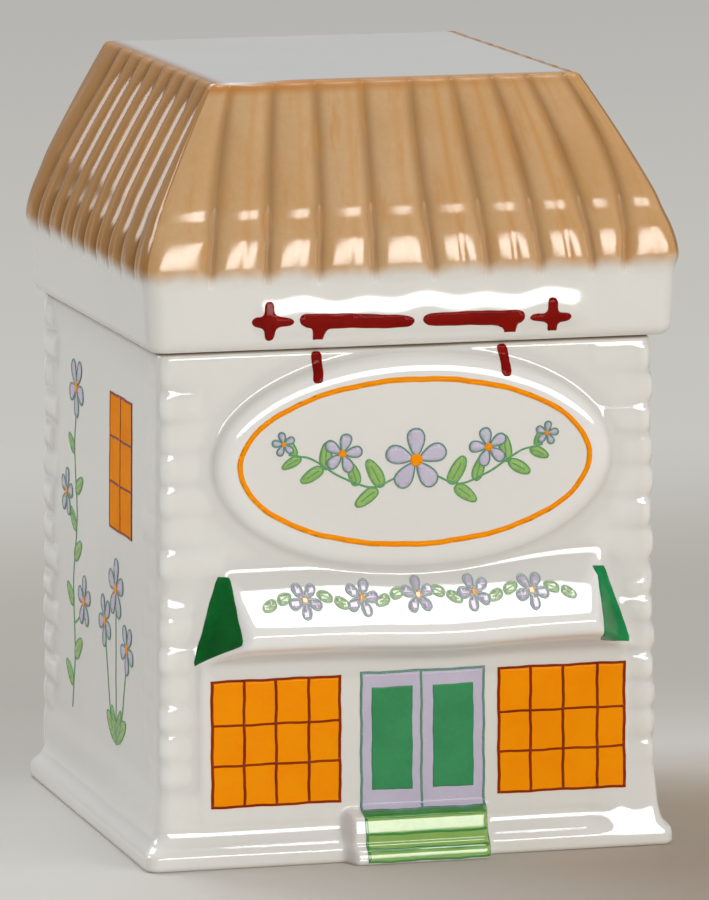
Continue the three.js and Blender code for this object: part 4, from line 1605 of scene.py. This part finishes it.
class Motifs:
    """Collects the shapes of one wall by colour, then makes a layer of each colour."""

    thickness = {"stems": 1.2, "leaves": 1.0, "petals": 1.4, "lines": 1.8, "hearts": 2.2}

    def __init__(self):
        self.shapes = {word: [] for word in self.thickness}

    def outlined(self, fill, line, outline_of, size, angle, at):
        """A filled shape and the line round it."""
        inner = turned(outline_of(*size, -edge_line / 2), angle, at)
        self.shapes[fill].append((inner, []))
        self.shapes[line].append((turned(outline_of(*size, edge_line / 2), angle, at), [inner]))

    def blossom(self, at, size, angle=90.0):
        for n in range(5):
            self.outlined("petals", "lines", petal, (size, size * 0.74), angle + 72 * n, at)
        self.shapes["hearts"].append((oval(*at, size * 0.2, size * 0.2, 16), []))

    def sprig_leaf(self, at, long, wide, angle):
        self.outlined("leaves", "stems", leaf, (long, wide), angle, at)
        vein = ribbon([(0.1 * long, 0), (0.8 * long, 0)], vein_wide)
        self.shapes["stems"].append((turned(vein, angle, at), []))

    def stem(self, points):
        self.shapes["stems"].append((ribbon(points, stem_wide), []))

    def make(self, name, surface, colours, pitch=0.5):
        for (word, shapes), colour in zip(self.shapes.items(), colours):
            fire(f"{name}_{word}", shapes, surface, colour, pitch=pitch, thick=self.thickness[word])


stem_green = enamel("stem green enamel", "green_enamel", (0.1, 0.34, 0.12), (0.14, 0.4, 0.17), thin=0.15)
flower_colours = (stem_green, light_green, lilac, teal, orange)

# %% Garland on the sign
garland_stem = {2.2: -1.6, 5.2: -2.9, 8.6: -1.5, 12.2: 0.9, 15.0: 1.4}
garland_leaves = ((4.0, -2.6, 3.4, 62), (4.6, -2.9, 3.0, -38), (6.9, -2.4, 2.7, 74), (10.6, -0.4, 3.0, 96),
                  (10.9, -0.3, 2.8, -32), (13.4, 1.0, 2.3, -28), (14.0, 1.2, 2.2, 64))


def sign_garland():
    """Two stems with leaves and flowers that hang from a large flower in the middle."""
    motifs = Motifs()
    middle, height = ring_middle
    for way in (-1, 1):
        motifs.stem([(middle + way * x, height + z) for x, z in garland_stem.items()])
        for x, z, long, lean in garland_leaves:
            angle = lean if way > 0 else 180 - lean
            motifs.sprig_leaf((middle + way * x, height + z), long, long * 0.46, angle)
        motifs.blossom((middle + way * 8.5, height + 1.3), 2.25, 90 + way * 14)
        motifs.blossom((middle + way * 15.3, height + 2.6), 1.35, 90 - way * 10)
    motifs.blossom((middle, height + 0.2), 3.6)
    motifs.make("sign_garland", front_wall, flower_colours)


# %% Row of flowers on the awning
row_pitch = 6.6
row_high = (awning_top + awning_lip_top) / 2 + 0.1


def sheen_washed_colours():
    """Paler tones of the five colours, painted to stand in for the shine that washes them out on the
    awning; they have the glaze's gloss.
    """
    tones = {
        "stem green": ("green_enamel", (0.3, 0.5, 0.3), (0.36, 0.56, 0.36), 0.0),
        "light green": ("light_green_enamel", (0.5, 0.62, 0.36), (0.44, 0.58, 0.3), 0.0),
        "lilac": ("lilac_enamel", (0.56, 0.5, 0.62), (0.52, 0.46, 0.6), 0.12),
        "teal": ("teal_enamel", (0.34, 0.46, 0.42), (0.38, 0.5, 0.45), 0.0),
        "orange": ("orange_enamel", (0.9, 0.5, 0.2), (0.85, 0.45, 0.16), 0.0),
    }
    return [enamel("glazed " + word, *pair, glaze_index, thin) for word, (*pair, thin) in tones.items()]


def awning_row():
    """Five flowers, with a pair of leaves beside each."""
    motifs = Motifs()
    for n in range(-2, 3):
        motifs.blossom((ring_shift + n * row_pitch, row_high + 0.1), 1.9, 90 + 20 * n)
    for n in range(-3, 3):
        x = ring_shift + (n + 0.5) * row_pitch
        lean = 24 if n % 2 else -24
        motifs.sprig_leaf((x - 0.15, row_high), 1.7, 1.0, 180 + lean)
        motifs.sprig_leaf((x + 0.15, row_high), 1.7, 1.0, lean)
    motifs.make("awning_row", front_wall, sheen_washed_colours(), 0.4)


# %% Climbing flowers on the side walls
climber_stem = [(-14.5, 10.5), (-12.4, 18.0), (-14.0, 26.0), (-11.6, 34.0), (-13.2, 42.0), (-11.9, 47.5)]
climber_twigs = ([(-12.9, 21.2), (-10.6, 22.2), (-9.2, 23.0)],
                 [(-12.1, 33.2), (-14.2, 34.0), (-15.8, 35.0)])
climber_leaves = ((-13.6, 14.0, 4.2, 150), (-12.8, 17.5, 4.4, 30), (-13.4, 23.5, 4.0, 152),
                  (-13.3, 29.0, 4.2, 28), (-12.2, 32.5, 3.8, 148), (-12.4, 37.0, 3.8, 26),
                  (-13.0, 41.5, 3.4, 150))
climber_flowers = ((-8.0, 24.5, 3.1), (-12.0, 49.2, 3.6), (-17.0, 36.2, 2.9))
tuft_at = 8.2
tuft_flowers = ((2.6, 12.0, 9.0, 3.1), (8.2, 11.5, 13.5, 3.6), (13.6, 12.0, 7.5, 3.0))
tuft_leaves = ((5.2, 28), (5.2, 152), (4.2, 58), (4.2, 122))


def climber(name, surface, way):
    """A climbing stem near the back edge of a side wall and a low tuft towards the shop front."""
    motifs = Motifs()
    motifs.stem([(way * u, z) for u, z in climber_stem])
    for u, z, long, angle in climber_leaves:
        motifs.sprig_leaf((way * u, z), long, long * 0.44, angle if way > 0 else 180 - angle)
    for u, z, size in climber_flowers:
        motifs.blossom((way * u, z), size, 90 + 9 * u)
    for twig in climber_twigs:
        motifs.stem([(way * u, z) for u, z in twig])
    for u, z, high, size in tuft_flowers:
        bend = (way * (u + tuft_at) / 2, z + 1.5)
        motifs.stem([(way * tuft_at, 10.4), bend, (way * u, z + high + 0.75 * size)])
        motifs.blossom((way * u, z + high + size), size, 100 + 7 * u)
    for long, angle in tuft_leaves:
        motifs.sprig_leaf((way * tuft_at, 11.2), long, long * 0.4, angle)
    motifs.make(name, surface, flower_colours)


sign_garland()
awning_row()
climber("left_climber", left_wall, 1)
climber("right_climber", right_wall, -1)

# %% [markdown]
# ## Stage: floor, lamps and camera
#
# A glossy glaze shows the room, so the lamps are placed by what they do on it: a wide low softbox in
# front and to the right gives the small flashes on every tile and lip, a small box overhead the pale
# patch on the awning, and a box on the left the long streaks on the roof. A window-like lamp behind
# on the left lights the floor and the left wall, and the world adds an even light. The floor is pale
# and plain, with painted shade in a band behind the jar and a warm painted shadow to its right and
# front; far away it is shown at a set tone.

# %% Floor
FLOOR_TONE = (0.6, 0.585, 0.55, 1)
FLOOR_DRIFT = (0.585, 0.57, 0.535, 1)
FLOOR_NEAR = (0.6, 0.59, 0.55, 1)
FLOOR_FAR = (0.46, 0.45, 0.43, 1)
FLOOR_PAINTED_SHADE_BEHIND = (0.74, 0.715, 0.70, 1)
FLOOR_PAINTED_SHADOW = (0.7, 0.58, 0.47, 1)
floor_half = 12.0


def floor_tones(x, y):
    """Painted shade darkens the cloth in a band behind the jar, and a warm painted shadow lies to its right
    and front.
    """
    # Painted shade in a band behind the jar.
    shade_behind = y.spread(0.0, 0.08) * y.spread(0.28, 0.13)
    # A warm painted shadow to the jar's right and front.
    right = x.spread(-0.03, 0.05) * y.spread(0.035, -0.01) * y.spread(-0.3, -0.12)
    return mix(right, mix(shade_behind, (1, 1, 1, 1), FLOOR_PAINTED_SHADE_BEHIND), FLOOR_PAINTED_SHADOW)


def floor_finish():
    """Cloth near the jar; further off, where a ray comes from the eye or a mirror, a set tone."""
    material, tree, shader = finish("pale floor", 0.8, 1.4)
    x, y, _ = place_parts(tree)
    tones = floor_tones(x, y)
    cloth = use_group(tree, mottle_group, Colour=FLOOR_TONE, Second=FLOOR_DRIFT,
                      Cloud_Scale=3.0, Grain_Scale=300.0)
    feed(shader.inputs["Base Color"], mix(1.0, cloth, tones, "MULTIPLY"))
    tone = mix(1.0, mix(y.spread(-0.1, 1.2), FLOOR_NEAR, FLOOR_FAR), tones, "MULTIPLY")
    glow = add_node(tree, "ShaderNodeEmission", 0, {"Color": tone, "Strength": 1.0})
    distance = calculate("SQRT", x * x + y * y, 0.0)
    camera_ray = add_node(tree, "ShaderNodeLightPath", "Is Camera Ray")
    seen = calculate("MAXIMUM", camera_ray, camera_ray.beside("Is Glossy Ray"))
    seen = calculate("MAXIMUM", seen, camera_ray.beside("Is Transmission Ray"))
    links = {0: seen * distance.spread(0.05, 0.3, 0.15, 1.0), 1: Wire(shader.outputs[0]), 2: glow}
    feed(tree.nodes["Material Output"].inputs["Surface"], add_node(tree, "ShaderNodeMixShader", 0, links))
    return material


floor_corners = [(x, y, 0) for x, y in rectangle(-floor_half, floor_half, -floor_half, floor_half)]
floor_piece = skin("floor", floor_corners, [(0, 1, 2, 3)], smooth=False)
floor_piece.data.materials.append(floor_finish())


# %% Lamps
def facing(azimuth, elevation):
    """A direction from the jar: azimuth 0 is in front, positive to the right."""
    a, e = math.radians(azimuth), math.radians(elevation)
    return Vector((math.sin(a) * math.cos(e), -math.cos(a) * math.cos(e), math.sin(e)))


def softbox(name, azimuth, elevation, distance, wide, high, power, tint=(1, 1, 1), shape="RECTANGLE"):
    lamp = bpy.data.lights.new(name, "AREA")
    lamp.shape = shape
    lamp.size, lamp.size_y = wide, high
    lamp.energy = power
    lamp.color = tint
    holder = in_scene(name, lamp)
    way = facing(azimuth, elevation)
    holder.location = Vector((0, 0, 0.045)) + way * distance
    holder.rotation_euler = way.to_track_quat("Z", "Y").to_euler()
    holder.visible_camera = False


softbox("key softbox", 17, 12.5, 0.9, 1.05, 0.18, 4.4, (1, 0.98, 0.94), "ELLIPSE")
softbox("overhead box", 54, 72, 0.8, 0.21, 0.21, 1.1)
softbox("left strip", -110, 31, 0.9, 0.35, 0.3, 1.75)
softbox("window behind on the left", -160, 52, 1.3, 0.8, 0.6, 9.0, (0.97, 0.985, 1))

world = bpy.data.worlds.new("even light")
world.use_nodes = True
even = world.node_tree.nodes["Background"]
even.inputs["Color"].default_value = (0.95, 0.97, 1.0, 1)
even.inputs["Strength"].default_value = 0.27
bpy.context.scene.world = world
print("lamps:", ", ".join(lamp.name for lamp in bpy.data.lights))

# %% Camera
camera_distance = 907.0
camera_azimuth = -14.815
camera_elevation = 8.515
camera_roll = -0.224
camera_right = 1.416
camera_up = -2.664
aim_height = 45.0

camera = in_scene("camera", bpy.data.cameras.new("camera"))
bpy.context.scene.camera = camera
camera.data.lens = 313.0
camera.data.sensor_width = 36
camera.data.clip_end = 100

behind = facing(camera_azimuth, camera_elevation)
level = (-behind).cross(Vector((0, 0, 1))).normalized()
upright = level.cross(-behind)
roll = math.radians(camera_roll)
to_right = math.cos(roll) * level + math.sin(roll) * upright
to_top = -math.sin(roll) * level + math.cos(roll) * upright
spot = Vector((0, axis_y, aim_height)) + behind * camera_distance
spot += to_right * camera_right + to_top * camera_up
turn = Matrix((to_right, to_top, behind)).transposed().to_4x4()
camera.matrix_world = Matrix.Translation(spot * MM) @ turn
print("camera at", tuple(round(value, 3) for value in camera.matrix_world.translation))

# %% Finish
bpy.context.scene.view_settings.view_transform = "Standard"
